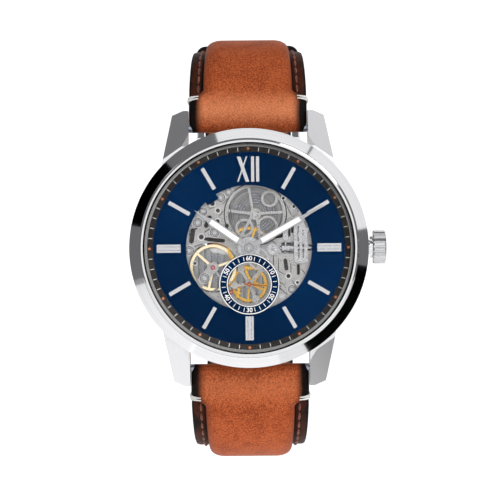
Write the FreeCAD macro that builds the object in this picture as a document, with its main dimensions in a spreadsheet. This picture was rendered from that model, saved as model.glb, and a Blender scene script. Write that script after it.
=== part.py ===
"""A skeleton wristwatch: steel case, open dial, self-winding movement and a two-part leather strap.

The watch stands upright as it is looked at: 12 o'clock is +Z, the crown points along +X and the
dial faces -Y. The origin is the middle of the outer face of the case back.

Every piece is drawn lying down first, in the watchmaker's own directions: X to 3 o'clock, Y to
12 o'clock and Z out of the dial, with Z = 0 on the case back. UPRIGHT then stands it up.
Heights that end in _low and _high are measured along that Z, from the back of the watch.
"""
import FreeCAD, Part
import math
import os
import re

import Sketcher
from FreeCAD import Placement, Rotation, Vector

doc = FreeCAD.newDocument("SkeletonWatch")
sheet = doc.addObject("Spreadsheet::Sheet", "Dims")

DIMENSIONS = {
    # case
    "case_radius": 23.2,
    "case_low": 1.3,
    "case_high": 9.2,
    "bezel_radius": 24.0,
    "bezel_high": 11.7,
    "polished_ring": 21.95,
    "crystal_radius": 20.85,
    "crystal_low": 10.8,
    "crystal_high": 12.3,
    "gasket_width": 0.5,
    "case_bore": 18.0,
    "dial_seat": 20.95,
    "back_radius": 21.4,
    "back_thread": 19.0,
    "back_glass": 14.0,
    "back_glass_thick": 1.5,
    "back_bore": 15.05,
    "back_register": 2.8,
    "lug_gap": 24.2,
    "lug_reach": 27.9,
    "lug_flat": 22.45,
    "lug_bar": 24.4,
    "lug_bar_level": 3.0,
    "bar_radius": 0.9,
    "bar_tip_radius": 0.55,
    "bar_half_length": 11.9,
    "bar_tip_reach": 13.2,
    # dial side
    "dial_low": 7.9,
    "dial_high": 8.3,
    "dial_radius": 20.5,
    "dial_opening": 12.65,
    "track_inner": 19.3,
    "subdial_v": -7.3,
    "subdial_outer": 6.05,
    "subdial_inner": 4.3,
    "applied_high": 8.65,
    "baton_inner": 13.7,
    "baton_outer": 18.5,
    "baton_width": 0.76,
    "baton_double": 1.63,
    # movement levels
    "movement_radius": 15.0,
    "bridge_low": 2.9,
    "bridge_high": 3.6,
    "plate_low": 5.6,
    "plate_high": 6.6,
    "rotor_low": 1.75,
    "rotor_web": 2.15,
    "rotor_high": 2.8,
    "rotor_radius": 14.6,
    "rotor_weight_inner": 12.3,
    "winding_low": 2.35,
    "winding_high": 2.7,
    "stem_level": 6.1,
    # train positions, as distances between arbors
    "barrel_u": 1.33,
    "barrel_v": 6.83,
    "third_u": 2.957,
    "third_v": -3.908,
    "escape_u": -3.75,
    "escape_v": -8.85,
    "pallet_u": -5.24,
    "pallet_v": -6.78,
    "balance_u": -7.3,
    "balance_v": -3.9,
    "minute_wheel_u": 1.9,
    "minute_wheel_v": -2.19,
    "crown_wheel_u": 6.65,
    "reverser_u": -2.5,
    "reverser_v": -2.45,
    "balance_radius": 4.7,
    "balance_rim": 0.58,
    # crown and stem
    "crown_radius": 3.37,
    "crown_start": 24.9,
    "crown_end": 27.6,
    "tube_radius": 1.9,
    "tube_bore": 1.0,
    "stem_radius": 0.55,
    # strap
    "strap_width": 24.0,
    "strap_end_width": 20.0,
    "strap_thick": 3.4,
}


def fill_sheet():
    for row, (name, value) in enumerate(DIMENSIONS.items(), start=1):
        sheet.set(f"A{row}", name)
        sheet.set(f"B{row}", str(value))
        sheet.setAlias(f"B{row}", name)
    doc.recompute()


fill_sheet()
UPRIGHT = Placement(Vector(0, 0, 0), Rotation(Vector(1, 0, 0), 90))
NODES = []


def size(name):
    """A driving dimension, read from the sheet."""
    return float(sheet.get(name))


def bound(text):
    """An expression in plain dimension names, written the way the document needs it."""
    return re.sub(r"[a-z][a-z_]*", r"Dims.\g<0>", text)


def stand(piece, label):
    """Name a finished piece, stand it up with the watch and put it on the list of sub-parts."""
    piece.Label = label
    piece.Placement = UPRIGHT
    NODES.append(piece)
    return piece


def origin_feature(body, role):
    return next(item for item in body.Origin.OriginFeatures if item.Role == role)


def new_sketch(body, name, role):
    sketch = body.newObject("Sketcher::SketchObject", name)
    sketch.AttachmentSupport = [(origin_feature(body, role), "")]
    sketch.MapMode = "FlatFace"
    return sketch


def add_outline(sketch, corners):
    """A closed outline of straight edges whose corners are bound to expressions, as (x, y) texts."""
    count = len(corners)
    first = sketch.GeometryCount
    spots = [Vector(3 + math.cos(2 * math.pi * i / count), 3 + math.sin(2 * math.pi * i / count), 0)
             for i in range(count)]
    for i in range(count):
        sketch.addGeometry(Part.LineSegment(spots[i], spots[(i + 1) % count]), False)
    for i in range(count):
        after = first + (i + 1) % count
        sketch.addConstraint(Sketcher.Constraint("Coincident", first + i, 2, after, 1))
    for i, (x_text, y_text) in enumerate(corners):
        bind_point(sketch, first + i, "DistanceX", x_text, spots[i].x)
        bind_point(sketch, first + i, "DistanceY", y_text, spots[i].y)


def bind_point(sketch, edge, kind, text, start):
    """Tie one coordinate of an edge's first point to an expression; "0" puts it on the axis."""
    if text == "0":
        axis = -2 if kind == "DistanceX" else -1
        sketch.addConstraint(Sketcher.Constraint("PointOnObject", edge, 1, axis))
        return
    number = sketch.addConstraint(Sketcher.Constraint(kind, -1, 1, edge, 1, start))
    sketch.setExpression(f"Constraints[{number}]", bound(text))


def turned_body(name, profile):
    """A lathe-turned body: the profile is a list of (radius, height) texts, turned about Z."""
    body = doc.addObject("PartDesign::Body", name + "_body")
    sketch = new_sketch(body, name + "_profile", "XZ_Plane")
    add_outline(sketch, profile)
    turn = body.newObject("PartDesign::Revolution", name + "_turned")
    turn.Profile = sketch
    turn.ReferenceAxis = (sketch, ["V_Axis"])
    turn.Angle = 360
    return body


def turned(label, profile):
    return stand(turned_body(label, profile), label)


def cylinder(name, radius, low, high, u=0.0, v=0.0):
    """A plain cylinder along Z; radius, low and high are texts bound to the sheet."""
    item = doc.addObject("Part::Cylinder", name)
    item.setExpression("Radius", bound(radius))
    item.setExpression("Height", bound(f"{high} - ({low})"))
    item.Placement.Base = Vector(u, v, 0)
    item.setExpression(".Placement.Base.z", bound(low))
    return item


def laid_cylinder(name, radius, start, end, v, level):
    """A cylinder that lies along X, from start to end, at a place (v, level)."""
    item = doc.addObject("Part::Cylinder", name)
    item.setExpression("Radius", bound(radius))
    item.setExpression("Height", bound(f"{end} - ({start})"))
    item.Placement = Placement(Vector(0, v, level), Rotation(Vector(0, 1, 0), 90))
    item.setExpression(".Placement.Base.x", bound(start))
    return item


def joined(kind, name, base, tool):
    """A boolean of two objects: kind is Cut, Fuse or Common."""
    item = doc.addObject("Part::" + kind, name)
    item.Base = base
    item.Tool = tool
    return item


def ring_object(name, outer, inner, low, high, u=0.0, v=0.0):
    solid = cylinder(name + "_outer", outer, low, high, u, v)
    bore = cylinder(name + "_bore", inner, low + " - 1", high + " + 1", u, v)
    return joined("Cut", name + "_ring", solid, bore)


def ring(label, outer, inner, low, high, u=0.0, v=0.0):
    return stand(ring_object(label, outer, inner, low, high, u, v), label)


def shaped(label, shape):
    """A piece whose outline comes from a formula, or from too many edges for a sketch."""
    item = doc.addObject("Part::Feature", label + "_shape")
    item.Shape = shape
    drawn_at = item.Placement
    stand(item, label)
    item.Placement = UPRIGHT.multiply(drawn_at)
    return item


# ---------------------------------------------------------------- shapes made by formula

def disc(radius, low, high, u=0.0, v=0.0):
    return Part.makeCylinder(radius, high - low, Vector(u, v, low))


def tube(outer, inner, low, high, u=0.0, v=0.0):
    return disc(outer, low, high, u, v).cut(disc(inner, low - 1, high + 1, u, v))


def slab(outline, low, high):
    """A flat plate from a closed list of (x, y) corners."""
    wire = Part.makePolygon([Vector(x, y, low) for x, y in outline + outline[:1]])
    return Part.Face(wire).extrude(Vector(0, 0, high - low))


def bar(start, end, width, low, high):
    """A straight arm with round ends between two (x, y) points."""
    run = Vector(end[0] - start[0], end[1] - start[1], 0)
    across = Vector(-run.y, run.x, 0).normalize() * (width / 2)
    corners = [(start[0] + across.x, start[1] + across.y), (start[0] - across.x, start[1] - across.y),
               (end[0] - across.x, end[1] - across.y), (end[0] + across.x, end[1] + across.y)]
    ends = [disc(width / 2, low, high, *start), disc(width / 2, low, high, *end)]
    return slab(corners, low, high).fuse(ends)


def polar(radius, degrees, u=0.0, v=0.0):
    """The point at a radius and an angle, anticlockwise from 3 o'clock, about (u, v)."""
    turn = math.radians(degrees)
    return (u + radius * math.cos(turn), v + radius * math.sin(turn))


def tooth_flank(teeth, module, share, rolling, addendum, dedendum):
    """One side of a watch tooth as (half angle, radius): radial below the pitch circle, and an
    epicycloid above it, traced by a circle of the given rolling radius."""
    pitch = module * teeth / 2
    half = share * math.pi / teeth
    flank = [(half, pitch - dedendum), (half, pitch)]
    steps = 4
    for step in range(1, steps + 1):
        radius = pitch + addendum * step / steps
        cosine = ((pitch + rolling) ** 2 + rolling ** 2 - radius ** 2) / (2 * (pitch + rolling) * rolling)
        roll = math.acos(max(-1.0, min(1.0, cosine)))
        turn = roll * rolling / pitch
        x = (pitch + rolling) * math.cos(turn) - rolling * math.cos(turn + roll)
        y = (pitch + rolling) * math.sin(turn) - rolling * math.sin(turn + roll)
        angle = half - math.atan2(y, x)
        if angle <= 0:
            break
        flank.append((angle, radius))
    return flank


def gear_blank(teeth, flank, low, high, facing):
    """A toothed disc about the origin; facing is the angle of one tooth's middle, in degrees."""
    outline = []
    for tooth in range(teeth):
        middle = math.radians(facing) + 2 * math.pi * tooth / teeth
        for angle, radius in flank:
            outline.append((radius * math.cos(middle - angle), radius * math.sin(middle - angle)))
        for angle, radius in reversed(flank):
            outline.append((radius * math.cos(middle + angle), radius * math.sin(middle + angle)))
    return slab(outline, low, high)


WHEEL_TOOTH = 0.42      # part of the pitch that a wheel's tooth fills
LEAF_TOOTH = 0.34       # and a pinion's leaf
WHEEL_TIP = 0.8         # a wheel's addendum, in modules
LEAF_TIP = 0.4
TOOTH_BOTTOM = 0.4      # clearance below the mate's tip, in modules


class Mesh:
    """A wheel that drives a pinion, and the teeth that both need to roll on each other."""

    def __init__(self, wheel_teeth, pinion_teeth, wheel_at, pinion_at):
        self.wheel_teeth = wheel_teeth
        self.pinion_teeth = pinion_teeth
        self.distance = math.dist(wheel_at, pinion_at)
        self.module = 2 * self.distance / (wheel_teeth + pinion_teeth)
        self.bearing = math.degrees(math.atan2(pinion_at[1] - wheel_at[1], pinion_at[0] - wheel_at[0]))
        self.wheel_radius = self.module * wheel_teeth / 2
        self.pinion_radius = self.module * pinion_teeth / 2

    def wheel(self, low, high):
        bottom = (LEAF_TIP + TOOTH_BOTTOM) * self.module
        flank = tooth_flank(self.wheel_teeth, self.module, WHEEL_TOOTH, self.pinion_radius / 2,
                            WHEEL_TIP * self.module, bottom)
        return gear_blank(self.wheel_teeth, flank, low, high, self.bearing)

    def pinion(self, low, high):
        bottom = (WHEEL_TIP + TOOTH_BOTTOM) * self.module
        flank = tooth_flank(self.pinion_teeth, self.module, LEAF_TOOTH, self.wheel_radius / 2,
                            LEAF_TIP * self.module, bottom)
        facing = self.bearing + 180 + 180 / self.pinion_teeth
        return gear_blank(self.pinion_teeth, flank, low, high, facing)


def crossed_wheel(blank, low, high, rim_inner, hub, arms, arm_width, first=0.0):
    """Cut the middle out of a toothed disc, leaving its rim, a hub and straight arms."""
    middle = tube(rim_inner, hub, low - 1, high + 1)
    for arm in range(arms):
        tip = polar(rim_inner + 1, first + 360 * arm / arms)
        middle = middle.cut(bar((0, 0), tip, arm_width, low - 2, high + 2))
    return blank.cut(middle)


def moved(shape, u, v):
    shape.translate(Vector(u, v, 0))
    return shape


# ---------------------------------------------------------------- case

def lug_outlines():
    """The four lugs seen from the front, as corner texts: each leaves the case and tapers."""
    plan = [("lug_gap / 2", "17.6"), ("17.6", "13.6"), ("17.7", "15.2"), ("15.4", "lug_reach - 0.95"),
            ("13.2", "lug_reach"), ("lug_gap / 2", "lug_reach")]
    for side in ("", "-1 * "):
        for end in ("", "-1 * "):
            yield [(f"{side}({x})", f"{end}({y})") for x, y in plan]


def build_lugs():
    """Lug blanks padded upward, then cut by the falling top and the underside seen from the side."""
    body = doc.addObject("PartDesign::Body", "lug_body")
    plan = new_sketch(body, "lug_plan", "XY_Plane")
    for outline in lug_outlines():
        add_outline(plan, outline)
    pad = body.newObject("PartDesign::Pad", "lug_pad")
    pad.Profile = plan
    pad.setExpression("Length", bound("case_high"))
    full = ["case_high + 1", "lug_reach + 3"]
    for end in ("", "-1 * "):
        tops = [("15.5", "8.9"), ("20.5", "8.3"), ("24.0", "7.0"), ("lug_reach", "4.6"),
                (full[1], "4.0"), (full[1], full[0]), ("15.5", full[0])]
        unders = [("13", "-1"), ("13", "case_low + 0.5"), ("18", "case_low + 0.2"), ("23", "1.0"),
                  ("26.5", "0.6"), ("lug_reach", "1.5"), (full[1], "1.6"), (full[1], "-1")]
        for name, side in (("top", tops), ("under", unders)):
            sketch = new_sketch(body, "lug_" + name, "YZ_Plane")
            add_outline(sketch, [(f"{end}({y})", z) for y, z in side])
            cut = body.newObject("PartDesign::Pocket", "lug_cut_" + name)
            cut.Profile = sketch
            cut.Type = 1
            cut.Midplane = True
            doc.recompute()
    return body


def lug_slope(side, end):
    """A block whose underside bevels one lug's top, which falls to its tip and outward."""
    reach = 8.0
    block = doc.addObject("Part::Box", "lug_slope")
    block.Length = 2 * reach
    block.Width = 2 * reach
    block.Height = reach
    turn = Rotation(Vector(0, 0, 1), Vector(side * 0.3, end * 0.55, 1))
    foot = Vector(side * size("lug_gap") / 2, end * 22.5, 7.6)
    block.Placement = Placement(foot - turn.multVec(Vector(reach, reach, 0)), turn)
    return block


def lug_flat(end):
    """A block that cuts the case flat between two lugs, which leaves room for the strap's end."""
    block = doc.addObject("Part::Box", "lug_flat")
    block.setExpression("Length", bound("lug_gap"))
    block.Width = 3.0
    block.setExpression("Height", bound("case_high + 2"))
    start = size("lug_flat") if end > 0 else -size("lug_flat") - 3.0
    block.Placement.Base = Vector(-size("lug_gap") / 2, start, -1)
    return block


def build_mid_case():
    wall = [("back_thread + 0.05", "case_low"), ("case_radius - 1.4", "case_low"),
            ("case_radius - 0.3", "case_low + 1"), ("case_radius", "case_low + 2"),
            ("case_radius", "case_high"), ("dial_seat", "case_high"), ("dial_seat", "dial_low"),
            ("case_bore", "dial_low"), ("case_bore", "back_register + 0.5"),
            ("back_thread + 0.05", "back_register + 0.5")]
    band = turned_body("case_band", wall)
    lugs = build_lugs()
    case = joined("Fuse", "case_with_lugs", band, lugs)
    tools = [lug_slope(side, end) for side in (-1, 1) for end in (-1, 1)]
    tools += [lug_flat(-1), lug_flat(1)]
    for side in (-1, 1):
        tools.append(laid_cylinder("bar_hole", "bar_tip_radius + 0.05", "-1 * bar_tip_reach - 0.1",
                                   "bar_tip_reach + 0.1", side * size("lug_bar"),
                                   size("lug_bar_level")))
    tools.append(laid_cylinder("stem_hole", "tube_radius - 0.4", "case_bore - 1", "case_radius + 2",
                               0, size("stem_level")))
    holes = doc.addObject("Part::MultiFuse", "case_holes")
    holes.Shapes = tools
    drilled = joined("Cut", "drilled_case", case, holes)
    return stand(drilled, "mid_case")


def build_bezel():
    """A wide brushed cone with a raised polished ring inside it."""
    return turned("bezel", [
        ("crystal_radius - gasket_width", "case_high"), ("bezel_radius - 0.3", "case_high"),
        ("bezel_radius", "case_high + 0.4"), ("polished_ring", "bezel_high - 0.45"),
        ("polished_ring - 0.15", "bezel_high - 0.1"), ("polished_ring - 0.4", "bezel_high"),
        ("crystal_radius + 0.35", "bezel_high"), ("crystal_radius", "bezel_high - 0.25"),
        ("crystal_radius", "crystal_low - 0.4"),
        ("crystal_radius - gasket_width", "crystal_low - 0.4")])


def build_crystal():
    """A flat disc whose top is part of a large sphere."""
    disc_part = cylinder("crystal_disc", "crystal_radius", "crystal_low", "crystal_high")
    dome = doc.addObject("Part::Sphere", "crystal_dome")
    edge_drop = 0.5
    dome_radius = size("crystal_radius") ** 2 / (2 * edge_drop)
    dome.Radius = dome_radius
    dome.Placement.Base = Vector(0, 0, size("crystal_high") - dome_radius)
    return stand(joined("Common", "domed_crystal", disc_part, dome), "crystal")


def build_case_back():
    return turned("case_back", [
        ("back_glass", "0"), ("back_radius - 0.8", "0"), ("back_radius", "0.7"),
        ("back_radius", "case_low"), ("back_thread", "case_low"), ("back_thread", "back_register"),
        ("back_bore", "back_register"), ("back_bore", "back_glass_thick"),
        ("back_glass", "back_glass_thick")])


def build_case():
    build_mid_case()
    build_bezel()
    build_crystal()
    build_case_back()
    stand(cylinder("back_glass_disc", "back_glass", "0", "back_glass_thick"), "case_back_crystal")
    build_gaskets()
    build_movement_ring()


def build_gaskets():
    """One seal under the crystal and one between the case back and the case."""
    seals = doc.addObject("Part::Compound", "gasket_pair")
    seals.Links = [
        ring_object("crystal_seal", "crystal_radius", "crystal_radius - gasket_width",
                    "crystal_low - 0.4", "crystal_low"),
        ring_object("back_seal", "back_thread", "back_thread - 1", "back_register",
                    "back_register + 0.5")]
    stand(seals, "case_gaskets")


def build_movement_ring():
    """The spacer between the movement and the case, with a hole for the winding stem."""
    spacer = ring_object("spacer", "case_bore", "movement_radius + 0.2", "bridge_high + 0.6",
                         "dial_low")
    hole = laid_cylinder("spacer_hole", "tube_radius - 0.35", "0", "case_radius", 0,
                         size("stem_level"))
    stand(joined("Cut", "drilled_spacer", spacer, hole), "movement_ring")


def build_spring_bars():
    """A sprung tube across each pair of lugs, with a thinner tip in each lug's hole."""
    profile = [("0", "-1 * bar_tip_reach"), ("bar_tip_radius", "-1 * bar_tip_reach"),
               ("bar_tip_radius", "-1 * bar_half_length"), ("bar_radius", "-1 * bar_half_length"),
               ("bar_radius", "bar_half_length"), ("bar_tip_radius", "bar_half_length"),
               ("bar_tip_radius", "bar_tip_reach"), ("0", "bar_tip_reach")]
    bars = []
    for side in (-1, 1):
        body = turned_body(f"spring_bar_{len(bars)}", profile)
        body.Placement = Placement(Vector(0, side * size("lug_bar"), size("lug_bar_level")),
                                   Rotation(Vector(0, 1, 0), 90))
        bars.append(body)
    pair = doc.addObject("Part::Compound", "bar_pair")
    pair.Links = bars
    stand(pair, "spring_bars")


# ---------------------------------------------------------------- crown

def along_stem(body):
    """Lay a body turned about Z along the stem's axis, its Z pointing to 3 o'clock."""
    lying = Placement(Vector(0, 0, size("stem_level")), Rotation(Vector(0, 1, 0), 90))
    body.Placement = UPRIGHT.multiply(lying)
    return body


def build_crown():
    """A crown with flutes along its rim, hollow at the back where the case tube enters it."""
    blank = turned_body("crown_blank", [
        ("stem_radius", "crown_start + 1.6"), ("tube_radius + 0.2", "crown_start + 1.6"),
        ("tube_radius + 0.2", "crown_start"), ("crown_radius - 0.25", "crown_start"),
        ("crown_radius", "crown_start + 0.25"), ("crown_radius", "crown_end - 0.3"),
        ("crown_radius - 0.35", "crown_end - 0.05"), ("1.2", "crown_end"), ("0", "crown_end"),
        ("0", "crown_end - 0.6"), ("stem_radius", "crown_end - 0.6")])
    doc.recompute()
    flutes = 22
    radius = size("crown_radius") + 0.08
    length = size("crown_end") - size("crown_start") + 2
    tools = [Part.makeCylinder(0.24, length, Vector(*polar(radius, 360 * i / flutes),
                                                     size("crown_start") - 1)) for i in range(flutes)]
    cutters = doc.addObject("Part::Feature", "crown_flutes")
    cutters.Shape = Part.makeCompound(tools)
    crown = joined("Cut", "fluted_crown", blank, cutters)
    along_stem(stand(crown, "crown"))


def build_stem_parts():
    tube_body = turned_body("crown_tube", [
        ("tube_bore", "case_bore - 0.5"), ("tube_radius - 0.4", "case_bore - 0.5"),
        ("tube_radius - 0.4", "case_radius + 1.1"), ("tube_radius + 0.4", "case_radius + 1.1"),
        ("tube_radius + 0.4", "crown_start - 0.15"), ("tube_radius", "crown_start - 0.15"),
        ("tube_radius", "crown_start + 0.9"), ("tube_bore", "crown_start + 0.9")])
    along_stem(stand(tube_body, "crown_tube"))
    stem = turned_body("winding_stem", [
        ("0", "6.3"), ("stem_radius - 0.15", "6.3"), ("stem_radius - 0.15", "9.6"),
        ("stem_radius", "9.6"), ("stem_radius", "11.2"), ("stem_radius - 0.2", "11.2"),
        ("stem_radius - 0.2", "12.0"), ("stem_radius", "12.0"), ("stem_radius", "crown_end - 0.6"),
        ("0", "crown_end - 0.6")])
    along_stem(stand(stem, "winding_stem"))
    gasket = ring_object("crown_gasket", "tube_radius + 0.15", "tube_bore + 0.2",
                         "crown_start + 1.2", "crown_start + 1.6")
    along_stem(stand(gasket, "crown_gasket"))


# ---------------------------------------------------------------- dial

def build_dial():
    """The blue dial: a flat ring with a small tab that reaches into the opening."""
    plate = ring_object("dial_plate", "dial_radius", "dial_opening", "dial_low", "dial_high")
    tab = doc.addObject("Part::Box", "dial_tab")
    tab.Length = 1.4
    tab.Width = 2.6
    tab.setExpression("Height", bound("dial_high - dial_low"))
    tab.Placement = Placement(Vector(*polar(size("dial_opening") - 1.0, 121), size("dial_low")),
                              Rotation(Vector(0, 0, 1), 121))
    stand(joined("Fuse", "dial_with_tab", plate, tab), "dial")


def build_track_ring():
    """The sloped ring round the dial, which carries the minute marks."""
    turned("minute_track_ring", [
        ("track_inner", "dial_high"), ("dial_seat - 0.05", "dial_high"),
        ("dial_seat - 0.05", "case_high - 0.05"),
        ("crystal_radius - gasket_width", "case_high - 0.05"), ("track_inner", "dial_high + 0.2")])


def baton(width, degrees, inner, outer, low, high):
    block = Part.makeBox(outer - inner, width, high - low, Vector(inner, -width / 2, low))
    block.rotate(Vector(0, 0, 0), Vector(0, 0, 1), degrees)
    return block


def build_indices():
    """One applied baton at each hour but 12; those at 3, 6 and 9 are double, with a groove."""
    low, high = size("dial_high"), size("applied_high")
    inner, outer = size("baton_inner"), size("baton_outer")
    double = size("baton_double")
    groove = 0.23
    batons = []
    for hour in range(1, 12):
        degrees = 90 - 30 * hour
        if hour % 3:
            batons.append(baton(size("baton_width"), degrees, inner, outer, low, high))
            continue
        block = baton(double, degrees, inner, outer, low, high)
        for side in (-1, 1):
            cut = Part.makeBox(outer - inner + 2, groove, high, Vector(
                inner - 1, side * double / 6 - groove / 2, low + 0.12))
            cut.rotate(Vector(0, 0, 0), Vector(0, 0, 1), degrees)
            block = block.cut(cut)
        batons.append(block)
    shaped("hour_indices", Part.makeCompound(batons))


def stroke(low_left, low_right, top_left, top_right, base, top, low, high):
    return slab([(low_left, base), (low_right, base), (top_right, top), (top_left, top)], low, high)


def build_numeral():
    """The twelve in Roman figures: X from a thick and a thin stroke, then two upright bars."""
    low, high = size("dial_high"), size("applied_high") + 0.1
    base, top = 13.3, 18.35
    thick = stroke(-0.55, 0.2, -2.3, -1.55, base, top, low, high)
    thin = stroke(-2.25, -1.95, -0.5, -0.2, base, top, low, high)
    bars = [slab([(x, base), (x + 0.62, base), (x + 0.62, top), (x, top)], low, high)
            for x in (0.55, 1.55)]
    shaped("numeral_twelve", Part.makeCompound([thick.fuse(thin)] + bars))


def build_dial_side():
    build_dial()
    build_track_ring()
    build_indices()
    build_numeral()
    ring("small_seconds_ring", "subdial_outer", "subdial_inner", "dial_high", "dial_high + 0.3",
         0, size("subdial_v"))


# ---------------------------------------------------------------- places and meshes of the train

CENTER = (0.0, 0.0)
BARREL = (size("barrel_u"), size("barrel_v"))
THIRD = (size("third_u"), size("third_v"))
FOURTH = (0.0, size("subdial_v"))
ESCAPE = (size("escape_u"), size("escape_v"))
PALLET = (size("pallet_u"), size("pallet_v"))
BALANCE = (size("balance_u"), size("balance_v"))
MINUTE_WHEEL = (size("minute_wheel_u"), size("minute_wheel_v"))
CROWN_WHEEL = (size("crown_wheel_u"), 0.0)
REVERSER = (size("reverser_u"), size("reverser_v"))
CLICK = (-5.6, 8.2)
PIVOT = 0.1             # radius of a pivot
JEWEL_HOLE = 0.15
JEWEL = 0.5             # outer radius of a jewel

BARREL_MESH = Mesh(60, 10, BARREL, CENTER)
CENTER_MESH = Mesh(64, 8, CENTER, THIRD)
THIRD_MESH = Mesh(60, 8, THIRD, FOURTH)
FOURTH_MESH = Mesh(63, 7, FOURTH, ESCAPE)
CANNON_MESH = Mesh(36, 12, MINUTE_WHEEL, CENTER)
HOUR_MESH = Mesh(40, 10, CENTER, MINUTE_WHEEL)
RATCHET_MESH = Mesh(60, 44, BARREL, CROWN_WHEEL)
ROTOR_MESH = Mesh(48, 12, REVERSER, CENTER)
SETTING_TEETH = 20
SETTING_DISTANCE = CANNON_MESH.module * (36 + SETTING_TEETH) / 2
SETTING_BEARING = 34.0
SETTING_WHEEL = polar(SETTING_DISTANCE, SETTING_BEARING, *MINUTE_WHEEL)

BRIDGE_LOW, BRIDGE_HIGH = size("bridge_low"), size("bridge_high")
PLATE_LOW, PLATE_HIGH = size("plate_low"), size("plate_high")
WINDING_LOW, WINDING_HIGH = size("winding_low"), size("winding_high")

JEWELLED = [THIRD, FOURTH, ESCAPE, BALANCE]
DIAL_SCREWS = [(-10.3, 5.2, 0.75), (-9.0, -6.0, 0.8), (-12.0, -0.4, 0.7), (-5.6, 10.2, 0.7),
               (-4.0, 11.3, 0.65), (-9.2, 7.4, 0.65), (-6.9, 3.2, 0.8), (10.5, 7.0, 0.6),
               (11.9, -6.0, 0.6), (8.6, -8.4, 0.65), (11.3, 5.8, 0.45), (6.6, -9.8, 0.6)]
PLATE_WELLS = [(-7.3, 9.0, 0.55), (-6.2, 7.6, 0.5), (-6.3, 5.4, 0.55), (-9.6, 2.3, 0.6),
               (4.9, -4.9, 0.6), (7.9, -5.7, 0.5), (9.7, -7.0, 0.35), (7.0, 10.0, 0.35),
               (9.1, 8.3, 0.35), (-10.9, -3.0, 0.35)]
BRIDGE_SCREWS = [(13.9, 28), (13.9, 76), (13.9, 140), (13.9, 192), (13.9, 225), (13.9, 262),
                 (13.9, 318)]


# ---------------------------------------------------------------- main plate and bridges

def barrel_openwork(low, high):
    """Loops and arms that cross the round window above the barrel and carry its upper bearing."""
    loops = [(-0.9, 4.1, 1.85), (3.75, 4.4, 2.1), (4.2, 9.9, 1.7)]
    arms = [((0.0, 12.5), (0.9, 6.9)), ((0.9, 6.9), (-1.9, 1.8)), ((1.3, 6.8), (-4.2, 7.6)),
            ((1.6, 6.8), (2.3, 1.2)), ((1.3, 6.9), (6.9, 7.2))]
    work = disc(1.15, low, high, *BARREL)
    for u, v, radius in loops:
        work = work.fuse(tube(radius, radius - 0.5, low, high, u, v))
    for start, end in arms:
        work = work.fuse(bar(start, end, 0.55, low, high))
    return work


def subdial_arms(low, high):
    """Three arms inside the small dial's window that hold the fourth wheel's upper bearing."""
    work = disc(0.85, low, high, *FOURTH)
    for spot in ((1.3, -10.3), (-3.0, -7.5), (2.5, -4.2), (-1.7, -4.2)):
        work = work.fuse(bar(FOURTH, spot, 0.55, low, high))
        work = work.fuse(disc(0.75, low, high, *spot))
    return work


def balance_arm(low, high):
    """The arm that crosses the balance's window to the jewel over its staff."""
    arm = bar(BALANCE, (-10.9, -8.0), 1.7, low, high)
    return arm.fuse(disc(1.15, low, high, *BALANCE))


def build_main_plate():
    low, high = PLATE_LOW, PLATE_HIGH
    plate = disc(size("movement_radius"), low, high)
    windows = [
        disc(5.55, low - 1, high + 1, *BARREL).cut(barrel_openwork(low - 2, high + 2)),
        disc(5.05, low - 1, high + 1, *BALANCE).cut(balance_arm(low - 2, high + 2)),
        disc(3.85, low - 1, high + 1, *FOURTH).cut(subdial_arms(low - 2, high + 2)),
        slab([(5.75, -1.2), (9.5, -1.2), (9.5, 1.2), (5.75, 1.2)], low - 1, high + 1),
        slab([(9, -0.62), (16, -0.62), (16, 0.62), (9, 0.62)], low - 1, high + 1),
        bar((-8.6, 4.6), (-7.9, 6.2), 0.9, low - 1, high + 1),
        bar((-11.6, 1.5), (-11.3, 3.6), 1.0, low - 1, high + 1),
        bar((-8.8, 1.9), (-5.2, 1.5), 0.8, low - 1, high + 1),
        bar((-4.9, 2.9), (-4.4, 4.6), 0.7, low - 1, high + 1),
        bar((-10.7, 4.0), (-9.7, 5.2), 0.5, low - 1, high + 1),
        slab([(5.0, 1.8), (8.4, 2.3), (8.4, 4.8), (7.1, 4.6)], low - 1, high + 1),
        bar((7.3, -2.6), (7.5, -4.2), 0.8, low - 1, high + 1),
        bar((9.9, -3.6), (9.9, -5.2), 0.6, low - 1, high + 1),
        bar((8.8, 3.2), (8.8, 5.6), 0.6, low - 1, high + 1),
        bar((4.5, -10.8), (6.0, -7.8), 0.7, low - 1, high + 1),
    ]
    for window in windows:
        plate = plate.cut(window)
    wells = [disc(radius, high - 0.35, high + 1, u, v) for u, v, radius in PLATE_WELLS]
    wells.append(tube(6.4, 6.15, high - 0.3, high + 1, *BARREL))
    jewels = [disc(JEWEL, low - 1, high + 1, *spot) for spot in JEWELLED]
    bores = [disc(0.3, low - 1, high + 1), disc(0.55, low - 1, high + 1, *BARREL),
             disc(JEWEL - 0.15, low - 1, high + 1, *PALLET)]
    threads = [disc(0.3, high - 0.55, high + 1, u, v) for u, v, _ in DIAL_SCREWS]
    plate = plate.cut(wells + jewels + bores + threads)
    posts = [disc(0.3, high - 0.2, high + 0.85, *MINUTE_WHEEL),
             disc(0.3, high - 0.2, high + 0.5, *SETTING_WHEEL),
             disc(0.3, high - 0.2, high + 0.45, 10.6, 2.6),
             disc(0.45, high - 0.2, high + 0.5, 9.9, 5.6), disc(0.45, high - 0.2, high + 0.5, 9.9, -2.2)]
    shaped("main_plate", plate.fuse(posts).removeSplitter())


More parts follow.
